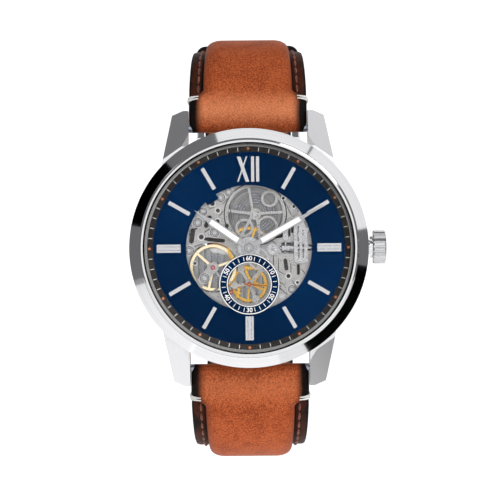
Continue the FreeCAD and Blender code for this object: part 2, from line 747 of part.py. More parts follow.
def build_keyless_cover():
    """The flat steel cover over the setting parts, with two long slots."""
    low, high = PLATE_HIGH + 0.5, PLATE_HIGH + 0.75
    cover = slab([(9.0, 3.4), (9.3, 6.3), (10.6, 6.3), (11.7, 3.6), (11.8, -2.8), (10.6, -3.2),
                  (9.1, -2.9)], low, high)
    slots = [bar((10.0, -1.9), (10.0, 0.6), 0.35, low - 1, high + 1),
             bar((10.9, -2.0), (10.9, 3.4), 0.35, low - 1, high + 1),
             bar((9.9, 1.4), (9.9, 4.2), 0.3, low - 1, high + 1)]
    shaped("keyless_cover", cover.cut(slots))


def wall(low, high, from_degrees, to_degrees):
    """Part of the rim wall that holds a bridge off the plate, between two angles."""
    outer = size("movement_radius")
    full = tube(outer, outer - 1.6, low, high)
    reach = 3 * outer
    middle = (from_degrees + to_degrees) / 2
    wedge = [(0, 0), polar(reach, from_degrees), polar(reach, middle), polar(reach, to_degrees)]
    return full.common(slab(wedge, low, high))


def bridge(outline, bores, walls):
    """A bridge: the part of a disc inside an outline, standing on rim walls, with its bores."""
    low, high = BRIDGE_LOW, BRIDGE_HIGH
    flat = disc(size("movement_radius"), low, high).common(slab(outline, low, high))
    for first, last in walls:
        flat = flat.fuse(wall(low, PLATE_LOW, first, last))
    for u, v, radius in bores:
        flat = flat.cut(disc(radius, low - 1, high + 1, u, v))
    for radius, degrees in BRIDGE_SCREWS:
        spot = polar(radius, degrees)
        flat = flat.cut(disc(0.62, low - 1, low + 0.3, *spot))
        flat = flat.cut(disc(0.35, low - 1, PLATE_LOW, *spot))
    return flat.removeSplitter()


def build_bridges():
    upper = [(16, -1.5), (16, 16), (-16, 16), (-16, 3.6), (-3.0, 2.6), (2.6, 1.7), (4.0, -1.5)]
    lower = [(16, -1.7), (3.9, -1.7), (2.4, 1.5), (-2.9, 2.4), (-3.1, -5.2), (-6.6, -9.8), (-11, -14),
             (-11, -18), (16, -18)]
    cock = [(-3.4, -1.6), (-3.4, -5.3), (-6.8, -9.8), (-11.4, -14), (-18, -14), (-18, 3.3), (-11, 3.1),
            (-7.6, -0.8)]
    jewel = JEWEL
    shaped("barrel_bridge", bridge(upper, [(*BARREL, 0.6), (*CROWN_WHEEL, 0.65)],
                                   [(7, 36), (122, 164)]))
    train = bridge(lower, [(*CENTER, 0.3), (*THIRD, jewel), (*FOURTH, jewel), (*ESCAPE, jewel)],
                   [(234, 350)])
    post = disc(0.3, WINDING_LOW - 0.1, BRIDGE_LOW + 0.1, *REVERSER)
    rotor_post = disc(0.5, BRIDGE_LOW, BRIDGE_LOW + 0.15).fuse(
        disc(0.35, size("rotor_low") + 0.05, BRIDGE_LOW))
    shaped("train_bridge", train.fuse([post, rotor_post]))
    shaped("balance_cock", bridge(cock, [(*BALANCE, jewel)], [(176, 221)]))
    pallet_low, pallet_high = 4.97, 5.2
    foot = (-7.5, -9.1)
    pallet = bar(PALLET, foot, 0.5, pallet_low, pallet_high)
    pallet = pallet.fuse(disc(0.55, pallet_low, PLATE_LOW, *foot))
    shaped("pallet_bridge", pallet.cut(disc(PIVOT + 0.05, 4, 6, *PALLET)))


def slotted_screw(u, v, radius, low, high, shank, shank_end, degrees):
    """A screw whose slotted head lies between low and high and whose shank ends at shank_end."""
    head = disc(radius, low, high, u, v)
    outward = 1 if shank_end < low else -1
    face = high if outward > 0 else low
    slot = Part.makeBox(3 * radius, 0.2, 0.24, Vector(-1.5 * radius, -0.1, face - 0.12))
    slot.rotate(Vector(0, 0, 0), Vector(0, 0, 1), degrees)
    slot.translate(Vector(u, v, 0))
    stem = disc(shank, min(shank_end, high), max(shank_end, low), u, v)
    return head.cut(slot).fuse(stem.cut(slot))


def build_screws():
    shank_low = BRIDGE_LOW + 0.3
    screws = [slotted_screw(*polar(radius, degrees), 0.6, BRIDGE_LOW, shank_low, 0.33,
                            PLATE_LOW - 0.2, 3 * degrees) for radius, degrees in BRIDGE_SCREWS]
    for number, (u, v, radius) in enumerate(DIAL_SCREWS):
        screws.append(slotted_screw(u, v, radius, PLATE_HIGH, PLATE_HIGH + 0.3, 0.28,
                                    PLATE_HIGH - 0.5, 40 + 47 * number))
    shaped("movement_screws", Part.makeCompound(screws))


def build_jewels():
    """Ruby bearings, pressed into the bridges behind the train and into the plate before it."""
    stones = []
    for spot in JEWELLED:
        hole = JEWEL_HOLE + (0.05 if spot == FOURTH else 0)
        stones.append(tube(JEWEL, JEWEL_HOLE, BRIDGE_LOW + 0.15, BRIDGE_HIGH, *spot))
        stones.append(tube(JEWEL, hole, PLATE_LOW, PLATE_HIGH - 0.1, *spot))
    stones.append(tube(JEWEL - 0.15, JEWEL_HOLE, PLATE_LOW, PLATE_HIGH - 0.1, *PALLET))
    shaped("jewels", Part.makeCompound(stones))


# ---------------------------------------------------------------- barrel and train

def build_barrel():
    """The open drum that holds the mainspring: floor, wall and the ring of teeth round it."""
    low, high = 3.75, 5.1
    teeth_low = 4.75
    bore = 0.75
    wall_outer, wall_inner = 5.35, 5.05
    teeth = BARREL_MESH.wheel(teeth_low, high).cut(disc(wall_inner, 0, 9))
    drum = tube(wall_outer, wall_inner, low, high).fuse(tube(wall_inner, bore, low, low + 0.15))
    shaped_at("barrel_drum", drum.fuse(teeth), BARREL)
    cover = tube(wall_inner, bore, high - 0.15, high)
    for opening in range(5):
        cover = cover.cut(disc(1.15, 0, 9, *polar(3.1, 90 + 72 * opening)))
    shaped_at("barrel_cover", cover, BARREL)
    build_mainspring(low + 0.25, high - 0.25)
    arbor = disc(0.7, low - 0.1, high + 0.1).fuse(disc(0.95, low + 0.2, high - 0.2))
    arbor = arbor.fuse(disc(0.5, WINDING_HIGH, PLATE_HIGH - 0.1))
    shaped_at("barrel_arbor", arbor, BARREL)
    ratchet = RATCHET_MESH.wheel(WINDING_LOW, WINDING_HIGH)
    for opening in range(6):
        ratchet = ratchet.cut(disc(1.0, 0, 9, *polar(3.0, 60 * opening)))
    shaped_at("ratchet_wheel", ratchet, BARREL)


def build_mainspring(low, high):
    """A flat spiral strip, wound between the arbor and the drum's wall."""
    inner, outer, turns, strip = 1.15, 4.9, 7, 0.14
    steps = 24 * turns
    inside, outside = [], []
    for step in range(steps + 1):
        radius = inner + (outer - inner) * step / steps
        degrees = 360 * turns * step / steps
        inside.append(polar(radius, degrees))
        outside.append(polar(radius + strip, degrees))
    shaped_at("mainspring", slab(inside + outside[::-1], low, high), BARREL)


def shaped_at(label, shape, spot):
    return shaped(label, moved(shape, *spot))


def arbor(radius, low, high, pivot_low, pivot_high):
    """A wheel's axle with a thin pivot at each end."""
    return disc(radius, low, high).fuse(disc(PIVOT, pivot_low, pivot_high))


def build_train():
    pivot_low, pivot_high = BRIDGE_LOW + 0.25, PLATE_HIGH - 0.3
    body_low, body_high = BRIDGE_HIGH + 0.05, PLATE_LOW - 0.05
    wheel = crossed_wheel(CENTER_MESH.wheel(5.3, 5.5), 5.3, 5.5, 3.75, 0.75, 5, 0.45)
    center = wheel.fuse([BARREL_MESH.pinion(4.65, 5.2), disc(0.25, BRIDGE_LOW + 0.2, 9.75)])
    shaped_at("center_wheel", center, CENTER)
    wheel = crossed_wheel(THIRD_MESH.wheel(4.3, 4.5), 4.3, 4.5, 3.4, 0.65, 5, 0.4, 20)
    third = wheel.fuse([CENTER_MESH.pinion(5.2, 5.55),
                        arbor(0.2, body_low, body_high, pivot_low, pivot_high)])
    shaped_at("third_wheel", third, THIRD)
    wheel = crossed_wheel(FOURTH_MESH.wheel(3.75, 3.95), 3.75, 3.95, 3.1, 0.6, 5, 0.36, 50)
    fourth = wheel.fuse([THIRD_MESH.pinion(4.2, 4.6),
                         arbor(0.2, body_low, body_high, pivot_low, 8.7)])
    shaped_at("fourth_wheel", fourth, FOURTH)
    build_escapement(pivot_low, pivot_high, body_low, body_high)


def build_escapement(pivot_low, pivot_high, body_low, body_high):
    outline = []
    count, tip, root = 15, 2.2, 1.75
    for tooth in range(count):
        start = 360 * tooth / count
        outline += [polar(root, start), polar(root + 0.05, start + 9), polar(tip, start + 15),
                    polar(tip - 0.05, start + 18)]
    wheel = crossed_wheel(slab(outline, 5.05, 5.2), 5.05, 5.2, 1.4, 0.45, 4, 0.25)
    shaped_at("escape_wheel", wheel.fuse([
        FOURTH_MESH.pinion(3.7, 4.0), arbor(0.15, body_low, body_high, pivot_low, pivot_high)]), ESCAPE)
    build_pallet_fork(pivot_high)
    build_balance(pivot_low, pivot_high, body_low, body_high)


def build_pallet_fork(pivot_high):
    low, high = 5.27, 5.42
    to_balance = math.degrees(math.atan2(BALANCE[1] - PALLET[1], BALANCE[0] - PALLET[0]))
    to_escape = math.degrees(math.atan2(ESCAPE[1] - PALLET[1], ESCAPE[0] - PALLET[0]))
    reach = math.dist(PALLET, BALANCE) - 0.75
    fork = bar((0, 0), polar(reach, to_balance), 0.3, low, high).fuse(disc(0.4, low, high))
    stones = []
    for side in (-1, 1):
        fork = fork.fuse(bar(polar(reach - 0.1, to_balance), polar(reach + 0.3, to_balance + 7 * side),
                             0.16, low, high))
        tip = polar(1.5, to_escape + 52 * side)
        fork = fork.fuse(bar((0, 0), tip, 0.34, low, high))
        stones.append(bar(tip, polar(1.75, to_escape + 40 * side), 0.24, high, high + 0.1))
    fork = fork.fuse(disc(PIVOT, 5.0, pivot_high))
    shaped_at("pallet_fork", Part.makeCompound([fork] + stones), PALLET)


def build_balance(pivot_low, pivot_high, body_low, body_high):
    """The balance: a rim on three arms with timing screws, its staff, roller and hairspring."""
    low, high = 4.4, 4.9
    radius, rim = size("balance_radius"), size("balance_rim")
    wheel = tube(radius, radius - rim, low, high)
    for arm in range(3):
        wheel = wheel.fuse(bar((0, 0), polar(radius - rim / 2, 138 + 120 * arm), 0.5, low + 0.1,
                               high - 0.1))
    wheel = wheel.fuse(disc(0.75, low, high)).cut(disc(0.2, 0, 9))
    shaped_at("balance_wheel", wheel.removeSplitter(), BALANCE)
    staff = arbor(0.2, body_low, body_high, pivot_low, pivot_high)
    roller = disc(0.5, 5.0, 5.15).fuse(disc(0.06, 5.15, 5.22, *polar(0.4, -54)))
    collet = disc(0.4, 3.9, 4.1)
    shaped_at("balance_staff", staff.fuse([roller, collet]), BALANCE)
    spiral_low, spiral_high = 3.9, 4.1
    inside, outside = [], []
    inner, outer, turns, strip = 0.5, 2.9, 8, 0.07
    steps = 20 * turns
    for step in range(steps + 1):
        spot = inner + (outer - inner) * step / steps
        inside.append(polar(spot, 360 * turns * step / steps))
        outside.append(polar(spot + strip, 360 * turns * step / steps))
    stud = disc(0.3, BRIDGE_HIGH, spiral_high + 0.1, *polar(outer, 0))
    spiral = slab(inside + outside[::-1], spiral_low, spiral_high)
    shaped_at("hairspring", spiral.fuse(stud), BALANCE)


# ---------------------------------------------------------------- motion work and hands

def build_motion_work():
    cannon = CANNON_MESH.pinion(6.75, 7.05).fuse(disc(0.55, 6.7, 9.72)).cut(disc(0.3, 0, 12))
    shaped_at("cannon_pinion", cannon, CENTER)
    wheel = crossed_wheel(CANNON_MESH.wheel(6.8, 7.0), 6.8, 7.0, 1.75, 0.75, 4, 0.4)
    minute = wheel.fuse(HOUR_MESH.pinion(7.0, 7.4)).cut(disc(0.35, 0, 9))
    shaped_at("minute_wheel", minute, MINUTE_WHEEL)
    hour = HOUR_MESH.wheel(7.12, 7.35).fuse(disc(0.9, 7.12, 9.28)).cut(disc(0.62, 0, 12))
    shaped_at("hour_wheel", hour, CENTER)
    pitch_turn = SETTING_BEARING - CANNON_MESH.bearing
    tooth_turn = pitch_turn - round(pitch_turn / 10) * 10
    mesh = Mesh(36, SETTING_TEETH, MINUTE_WHEEL, SETTING_WHEEL)
    setting = mesh.pinion(6.8, 7.05).cut(disc(0.35, 0, 9))
    setting.rotate(Vector(0, 0, 0), Vector(0, 0, 1), tooth_turn * 36 / SETTING_TEETH)
    shaped_at("setting_wheel", setting, SETTING_WHEEL)


def hand(shoulders, low, high, hub, pipe, tail, degrees):
    """A hand pointing along an angle: (reach, width) pairs from the hub to the tip, and a hub."""
    left = [(reach, width / 2) for reach, width in shoulders]
    right = [(reach, -width / 2) for reach, width in reversed(shoulders)]
    blade = slab(left + right, low, high)
    if tail:
        blade = blade.fuse(bar((0, 0), (-tail, 0), shoulders[0][1], low, high))
    blade = blade.fuse(disc(hub, low, high)).cut(disc(pipe, low - 1, high + 1))
    blade.rotate(Vector(0, 0, 0), Vector(0, 0, 1), degrees)
    return blade


def build_hands():
    hour_blade = [(0.9, 0.9), (2.3, 1.0), (2.5, 1.48), (9.3, 1.48), (10.0, 0.8), (13.2, 0.1)]
    shaped("hour_hand", hand(hour_blade, 9.05, 9.28, 1.4, 0.9, 0, 145))
    minute_blade = [(0.6, 0.8), (2.5, 0.9), (2.7, 1.42), (11.7, 1.42), (12.6, 0.75), (17.2, 0.1)]
    shaped("minute_hand", hand(minute_blade, 9.45, 9.7, 1.15, 0.55, 0, 29.5))
    seconds = hand([(0.2, 0.34), (3.4, 0.2), (3.75, 0.06)], 8.65, 8.8, 0.5, PIVOT, 0.9, -5)
    shaped_at("seconds_hand", seconds, FOURTH)


# ---------------------------------------------------------------- winding and setting parts

def build_winding():
    spur = RATCHET_MESH.pinion(WINDING_LOW, WINDING_HIGH)
    for opening in range(4):
        spur = spur.cut(disc(0.75, 0, 9, *polar(2.2, 45 + 90 * opening)))
    contrate = disc(2.15, 4.65, 4.8).fuse(tube(2.15, 1.65, 4.8, 4.95))
    for space in range(24):
        contrate = contrate.cut(bar(polar(1.0, 15 * space), polar(3.0, 15 * space), 0.22, 4.8, 6))
    shaped_at("crown_wheel", spur.fuse([contrate, disc(0.6, WINDING_HIGH, 4.65)]), CROWN_WHEEL)
    click = bar((0, 0), (1.9, 1.3), 0.6, WINDING_LOW, WINDING_HIGH).fuse(
        disc(0.7, WINDING_LOW, WINDING_HIGH))
    shaped_at("click", click.cut(disc(0.3, 0, 9)), CLICK)
    post = disc(0.25, WINDING_LOW, BRIDGE_LOW, *CLICK)
    spring = bar((-7.2, 7.4), (-6.2, 10.2), 0.22, WINDING_LOW, WINDING_HIGH)
    spring = spring.fuse(disc(0.4, WINDING_LOW, BRIDGE_LOW, -7.2, 7.4))
    shaped("click_spring", Part.makeCompound([spring, post]))




def end_teeth(low, high, outer, count):
    """Notches across one end of a sleeve, which leave teeth that grip its neighbour."""
    return [bar(polar(0.3, 360 * i / count), polar(outer + 1, 360 * i / count), 0.3, low, high)
            for i in range(count)]


def build_stem_train():
    """The pinion and the sliding clutch that ride on the stem, drawn along Z."""
    bore = size("stem_radius") - 0.1
    teeth, tip = 14, 1.1
    module = 2 * (tip - 0.07) / teeth
    flank = tooth_flank(teeth, module, WHEEL_TOOTH, 1.0, 0.07, 0.2)
    pinion = gear_blank(teeth, flank, 8.25, 8.95, 0).cut(disc(bore, 0, 12))
    along_stem(shaped("winding_pinion", pinion.cut(end_teeth(8.0, 8.33, 2, 8))))
    clutch = disc(0.95, 6.6, 8.2).cut(tube(2, 0.65, 7.2, 7.5)).cut(disc(bore, 0, 12))
    clutch = clutch.cut(end_teeth(8.12, 8.3, 2, 8) + end_teeth(6.4, 6.75, 2, 8))
    along_stem(shaped("sliding_clutch", clutch))


def build_levers():
    low, high = PLATE_HIGH + 0.15, PLATE_HIGH + 0.4
    lever = bar((10.6, 2.6), (11.6, 0.3), 0.75, low, high).fuse(disc(0.75, low, high, 10.6, 2.6))
    lever = lever.fuse(bar((10.6, 2.6), (12.1, 3.9), 0.6, low, high))
    shaped("setting_lever", lever.cut(disc(0.35, 0, 9, 10.6, 2.6)))
    yoke_low = PLATE_HIGH + 0.2
    yoke = slab([(7.25, -0.2), (7.45, -0.2), (7.45, 1.5), (7.9, 1.7), (7.9, 3.9), (6.9, 4.4), (6.8, 1.7),
                 (7.25, 1.5)], yoke_low, high)
    shaped("yoke", yoke)


def build_rotor():
    """The oscillating weight: a thin half disc with three windows, a heavy rim and its pinion."""
    low, web, high = size("rotor_low"), size("rotor_web"), size("rotor_high")
    outer, inner = size("rotor_radius"), size("rotor_weight_inner")
    lower_half = slab([(-20, 0), (20, 0), (20, -20), (-20, -20)], low, high)
    plate = disc(outer, low, web).common(lower_half)
    rim = tube(outer, inner, web, high).common(lower_half)
    rotor = plate.fuse(rim).fuse(disc(2.2, low, web))
    windows = []
    for middle in (215, 270, 325):
        ring_part = tube(10.8, 4.2, low - 1, web + 1)
        wedge = slab([(0, 0), polar(30, middle - 20), polar(30, middle + 20)], low - 1, web + 1)
        windows.append(ring_part.common(wedge))
    rotor = rotor.cut(windows).fuse(ROTOR_MESH.pinion(web, WINDING_HIGH))
    shaped("oscillating_weight", rotor.cut(disc(0.4, 0, 9)))
    reverser = crossed_wheel(ROTOR_MESH.wheel(WINDING_LOW, WINDING_HIGH), WINDING_LOW, WINDING_HIGH,
                             2.2, 0.8, 5, 0.4).cut(disc(0.35, 0, 9))
    shaped_at("reverser_wheel", reverser, REVERSER)


# ---------------------------------------------------------------- strap and buckle

STRAP_REACH = 42.3      # how far the middle of the leather stands out above the case's centre
SHOULDER = -14.5        # height where the strap has turned straight back
SIDE_RUN = 13.0         # straight stretch beside the wrist
BAR_V, BAR_LEVEL = size("lug_bar"), size("lug_bar_level")
TURN_RADIUS = ((STRAP_REACH - BAR_V) ** 2 + (BAR_LEVEL - SHOULDER) ** 2) / (2 * (STRAP_REACH - BAR_V))
TURN_START = math.asin((BAR_LEVEL - SHOULDER) / TURN_RADIUS)
LOOP_LEVEL = SHOULDER - SIDE_RUN
UPPER_LENGTH = 79.0     # from the lugs to the buckle's bar
LOWER_LENGTH = 118.0    # from the lugs to the strap's tip
KEEPER_HALF = 3.0       # half a keeper's width
KEEPER_FIXED_AT = 10.0  # back from the buckle's bar
KEEPER_SLIDING_AT = 22.0


def strap_point(distance, offset=0.0):
    """(v, w, angle) at a distance along the leather from the lug's bar, moved outward by offset.
    The angle is the direction outward from the wrist, in radians."""
    turn_length = TURN_RADIUS * TURN_START
    if distance <= turn_length:
        angle = TURN_START - distance / TURN_RADIUS
        center_v = STRAP_REACH - TURN_RADIUS
        return (center_v + (TURN_RADIUS + offset) * math.cos(angle),
                SHOULDER + (TURN_RADIUS + offset) * math.sin(angle), angle)
    if distance <= turn_length + SIDE_RUN:
        return STRAP_REACH + offset, SHOULDER - (distance - turn_length), 0.0
    angle = -(distance - turn_length - SIDE_RUN) / STRAP_REACH
    return ((STRAP_REACH + offset) * math.cos(angle),
            LOOP_LEVEL + (STRAP_REACH + offset) * math.sin(angle), angle)


def strap_edge(length, offset, side):
    """The edges of one face of the leather, seen from the side: arc, straight, arc."""
    turn_length = TURN_RADIUS * TURN_START
    stations = [0.0, turn_length / 2, turn_length, turn_length + SIDE_RUN,
                (turn_length + SIDE_RUN + length) / 2, length]
    spots = []
    for station in stations:
        v, w, _ = strap_point(station, offset)
        spots.append(Vector(0, side * v, w))
    return [Part.Arc(spots[0], spots[1], spots[2]).toShape(),
            Part.LineSegment(spots[2], spots[3]).toShape(),
            Part.Arc(spots[3], spots[4], spots[5]).toShape()]


def strap_blank(length, side):
    """Leather of even thickness and full width, following the strap's path round the wrist."""
    half = size("strap_thick") / 2
    outer = strap_edge(length, half, side)
    inner = strap_edge(length, -half, side)
    start = Part.LineSegment(outer[0].Vertexes[0].Point, inner[0].Vertexes[0].Point).toShape()
    tip = Part.LineSegment(outer[2].Vertexes[1].Point, inner[2].Vertexes[1].Point).toShape()
    wire = Part.Wire(Part.sortEdges(outer + inner + [start, tip])[0])
    width = size("strap_width")
    leather = Part.Face(wire).extrude(Vector(width, 0, 0))
    leather.translate(Vector(-width / 2, 0, 0))
    return leather.common(strap_taper())


TAPER_TOP, TAPER_END = 1.0, -40.0      # heights between which the strap narrows


def strap_half_width(level):
    """Half the strap's width at a height: full between the lugs, narrower towards the buckle."""
    full, end = size("strap_width") / 2, size("strap_end_width") / 2
    share = min(1.0, max(0.0, (TAPER_TOP - level) / (TAPER_TOP - TAPER_END)))
    return full - (full - end) * share


def strap_taper():
    """The space between the strap's two edges, as seen along the loop."""
    levels = [6.0, TAPER_TOP, TAPER_END, LOOP_LEVEL - STRAP_REACH - 4]
    right = [(strap_half_width(level), level) for level in levels]
    left = [(-x, level) for x, level in reversed(right)]
    face = slab(right + left, -100, 100)
    face.rotate(Vector(0, 0, 0), Vector(1, 0, 0), 90)
    return face


def across(radius, half_length, v, w):
    """A cylinder lying across the strap, through (v, w)."""
    return Part.makeCylinder(radius, 2 * half_length, Vector(-half_length, v, w), Vector(1, 0, 0))


def build_upper_strap():
    """The short half: a loop round the lug's bar, and one round the buckle's bar with a slot."""
    leather = strap_blank(UPPER_LENGTH, 1)
    half = size("strap_thick") / 2
    v, w, _ = strap_point(UPPER_LENGTH)
    width = strap_half_width(w)
    leather = leather.fuse([across(half, 12 - 0.02, BAR_V, BAR_LEVEL), across(half, width, v, w)])
    leather = leather.cut([across(size("bar_radius") + 0.06, 20, BAR_V, BAR_LEVEL),
                           across(BUCKLE_BAR + 0.06, 20, v, w)])
    slot = local_box(-1.7, 1.7, -4.0, 4.0, -4.0, 4.0)
    shaped("upper_strap", leather.cut(at_strap(slot, UPPER_LENGTH)))


def build_lower_strap():
    """The long half, with seven holes for the buckle's tongue."""
    leather = strap_blank(LOWER_LENGTH, -1)
    half = size("strap_thick") / 2
    leather = leather.fuse(across(half, 12 - 0.02, -BAR_V, BAR_LEVEL))
    leather = leather.cut(across(size("bar_radius") + 0.06, 20, -BAR_V, BAR_LEVEL))
    first_hole, spacing, hole_radius = 26.0, 6.5, 1.0
    for hole in range(7):
        v, w, angle = strap_point(LOWER_LENGTH - first_hole - spacing * hole)
        outward = Vector(0, -math.cos(angle), math.sin(angle))
        start = Vector(0, -v, w) - outward * 4
        leather = leather.cut(Part.makeCylinder(hole_radius, 8, start, outward))
    shaped("lower_strap", leather)


BUCKLE_BAR = 0.75


def local_box(x_low, x_high, along_low, along_high, out_low, out_high):
    """A block in strap directions: across, along the leather and outward from the wrist."""
    return Part.makeBox(x_high - x_low, along_high - along_low, out_high - out_low,
                        Vector(x_low, along_low, out_low))


def at_strap(shape, distance):
    """Carry a shape drawn in strap directions to its place on the upper strap."""
    v, w, angle = strap_point(distance)
    shape.rotate(Vector(0, 0, 0), Vector(1, 0, 0), math.degrees(angle) - 90)
    shape.translate(Vector(0, v, w))
    return shape


def build_keeper(label, distance, gap):
    """A leather loop round the strap, with room on top for the other half's end."""
    half = size("strap_thick") / 2
    _, w, _ = strap_point(distance)
    width = strap_half_width(w) + gap
    skin = 1.2
    outside = local_box(-width - skin, width + skin, -KEEPER_HALF, KEEPER_HALF,
                        -half - gap - skin, half + 3.4 + skin)
    inside = local_box(-width, width, -KEEPER_HALF - 1, KEEPER_HALF + 1, -half - gap, half + 3.4)
    shaped(label, at_strap(outside.cut(inside), distance))


def build_buckle():
    """A tongue buckle: a squared frame with its bar, and the tongue that rests on the frame."""
    _, w, _ = strap_point(UPPER_LENGTH)
    inside = strap_half_width(w) + 0.3
    side, length, bottom, top = 1.9, 11.0, -1.3, 1.2
    frame = local_box(-inside - side, inside + side, -1.4, length, bottom, top)
    frame = frame.cut(local_box(-inside, inside, -3, length - 2.2, -5, 5))
    frame = frame.cut(local_box(-inside, inside, 0, length + 1, 0.2, 5))
    corners = [edge for edge in frame.Edges if abs(edge.Vertexes[0].Z - edge.Vertexes[-1].Z) > 1.5
               and abs(edge.Vertexes[0].X) > inside + 1]
    frame = frame.makeFillet(0.9, corners)
    frame = frame.fuse(across(BUCKLE_BAR, inside + 0.5, 0, 0))
    shaped("buckle_frame", at_strap(frame, UPPER_LENGTH))
    tongue = local_box(-1.0, 1.0, 0, length - 0.1, 0.35, 1.45).fuse(across(1.5, 1.3, 0, 0))
    tongue = tongue.cut(across(BUCKLE_BAR + 0.06, 3, 0, 0))
    shaped("buckle_prong", at_strap(tongue, UPPER_LENGTH))


def build_strap():
    build_upper_strap()
    build_lower_strap()
    build_keeper("fixed_keeper", UPPER_LENGTH - KEEPER_FIXED_AT, 0.3)
    build_keeper("sliding_keeper", UPPER_LENGTH - KEEPER_SLIDING_AT, 0.4)
    build_buckle()


# ---------------------------------------------------------------- the whole watch

def check_document():
    """Stop if any feature failed or any sub-part is empty or broken."""
    for item in doc.Objects:
        if "Invalid" in item.State or "Error" in item.State:
            raise RuntimeError(f"{item.Name} did not compute: {item.State}")
    for piece in NODES:
        if piece.Shape.isNull() or not piece.Shape.isValid() or not piece.Shape.Solids:
            raise RuntimeError(f"{piece.Label} has no sound shape")


def write_parts():
    os.makedirs("parts", exist_ok=True)
    for piece in NODES:
        piece.Shape.exportStep(f"parts/{piece.Label}.step")


def build_watch():
    build_case()
    build_spring_bars()
    build_crown()
    build_stem_parts()
    build_dial_side()
    build_main_plate()
    build_keyless_cover()
    build_bridges()
    build_screws()
    build_jewels()
    build_barrel()
    build_train()
    build_motion_work()
    build_hands()
    build_winding()
    build_stem_train()
    build_levers()
    build_rotor()
    build_strap()
    doc.recompute()
    check_document()
    write_parts()
    print(len(NODES), "sub-parts written")


build_watch()
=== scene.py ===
"""The looks of a skeleton wristwatch: blue dial, steel case, open movement and padded leather strap.

12 o'clock is +Z, the crown points along +X and the dial faces -Y. Places on the watch are given
as (u, v, w) in millimetres: u to 3 o'clock, v to 12 o'clock and w out of the dial.
"""

import math

import bmesh
import bpy
from mathutils import Matrix, Vector


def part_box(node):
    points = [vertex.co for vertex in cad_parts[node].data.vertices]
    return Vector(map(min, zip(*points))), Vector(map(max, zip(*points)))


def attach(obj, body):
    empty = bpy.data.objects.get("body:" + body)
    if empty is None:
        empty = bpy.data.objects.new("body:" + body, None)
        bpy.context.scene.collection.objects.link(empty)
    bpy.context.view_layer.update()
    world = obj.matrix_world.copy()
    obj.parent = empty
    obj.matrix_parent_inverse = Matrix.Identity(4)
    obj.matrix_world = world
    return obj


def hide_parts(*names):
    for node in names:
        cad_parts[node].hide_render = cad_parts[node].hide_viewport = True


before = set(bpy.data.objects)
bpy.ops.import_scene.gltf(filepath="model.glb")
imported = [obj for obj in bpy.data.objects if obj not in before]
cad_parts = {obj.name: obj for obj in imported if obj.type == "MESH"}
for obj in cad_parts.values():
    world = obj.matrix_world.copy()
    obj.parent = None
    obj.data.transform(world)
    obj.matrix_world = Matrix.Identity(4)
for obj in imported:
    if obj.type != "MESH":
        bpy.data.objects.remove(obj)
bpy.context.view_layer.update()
scene = bpy.context.scene
MM = 0.001
BARREL = (1.33, 6.83)       # the barrel's axis on the dial


# ------------------------------ places

def at(u, v, w):
    """A place on the watch as a point of the frame, in metres."""
    return Vector((u, -w, v)) * MM


def polar(radius, degrees, u=0.0, v=0.0):
    """A place on the dial at a radius and an angle counter-clockwise from 3 o'clock."""
    turn = math.radians(degrees)
    return u + radius * math.cos(turn), v + radius * math.sin(turn)


def turned(x, y, degrees):
    """A place on the dial turned about the centre, counter-clockwise."""
    turn = math.radians(degrees)
    return x * math.cos(turn) - y * math.sin(turn), x * math.sin(turn) + y * math.cos(turn)


def front(node):
    """How far the front of a CAD node stands out of the dial, in millimetres."""
    return -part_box(node)[0].y / MM


def reach(node, axis):
    """The highest coordinate of a CAD node along an axis, in millimetres."""
    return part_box(node)[1][axis] / MM


# ------------------------------ materials

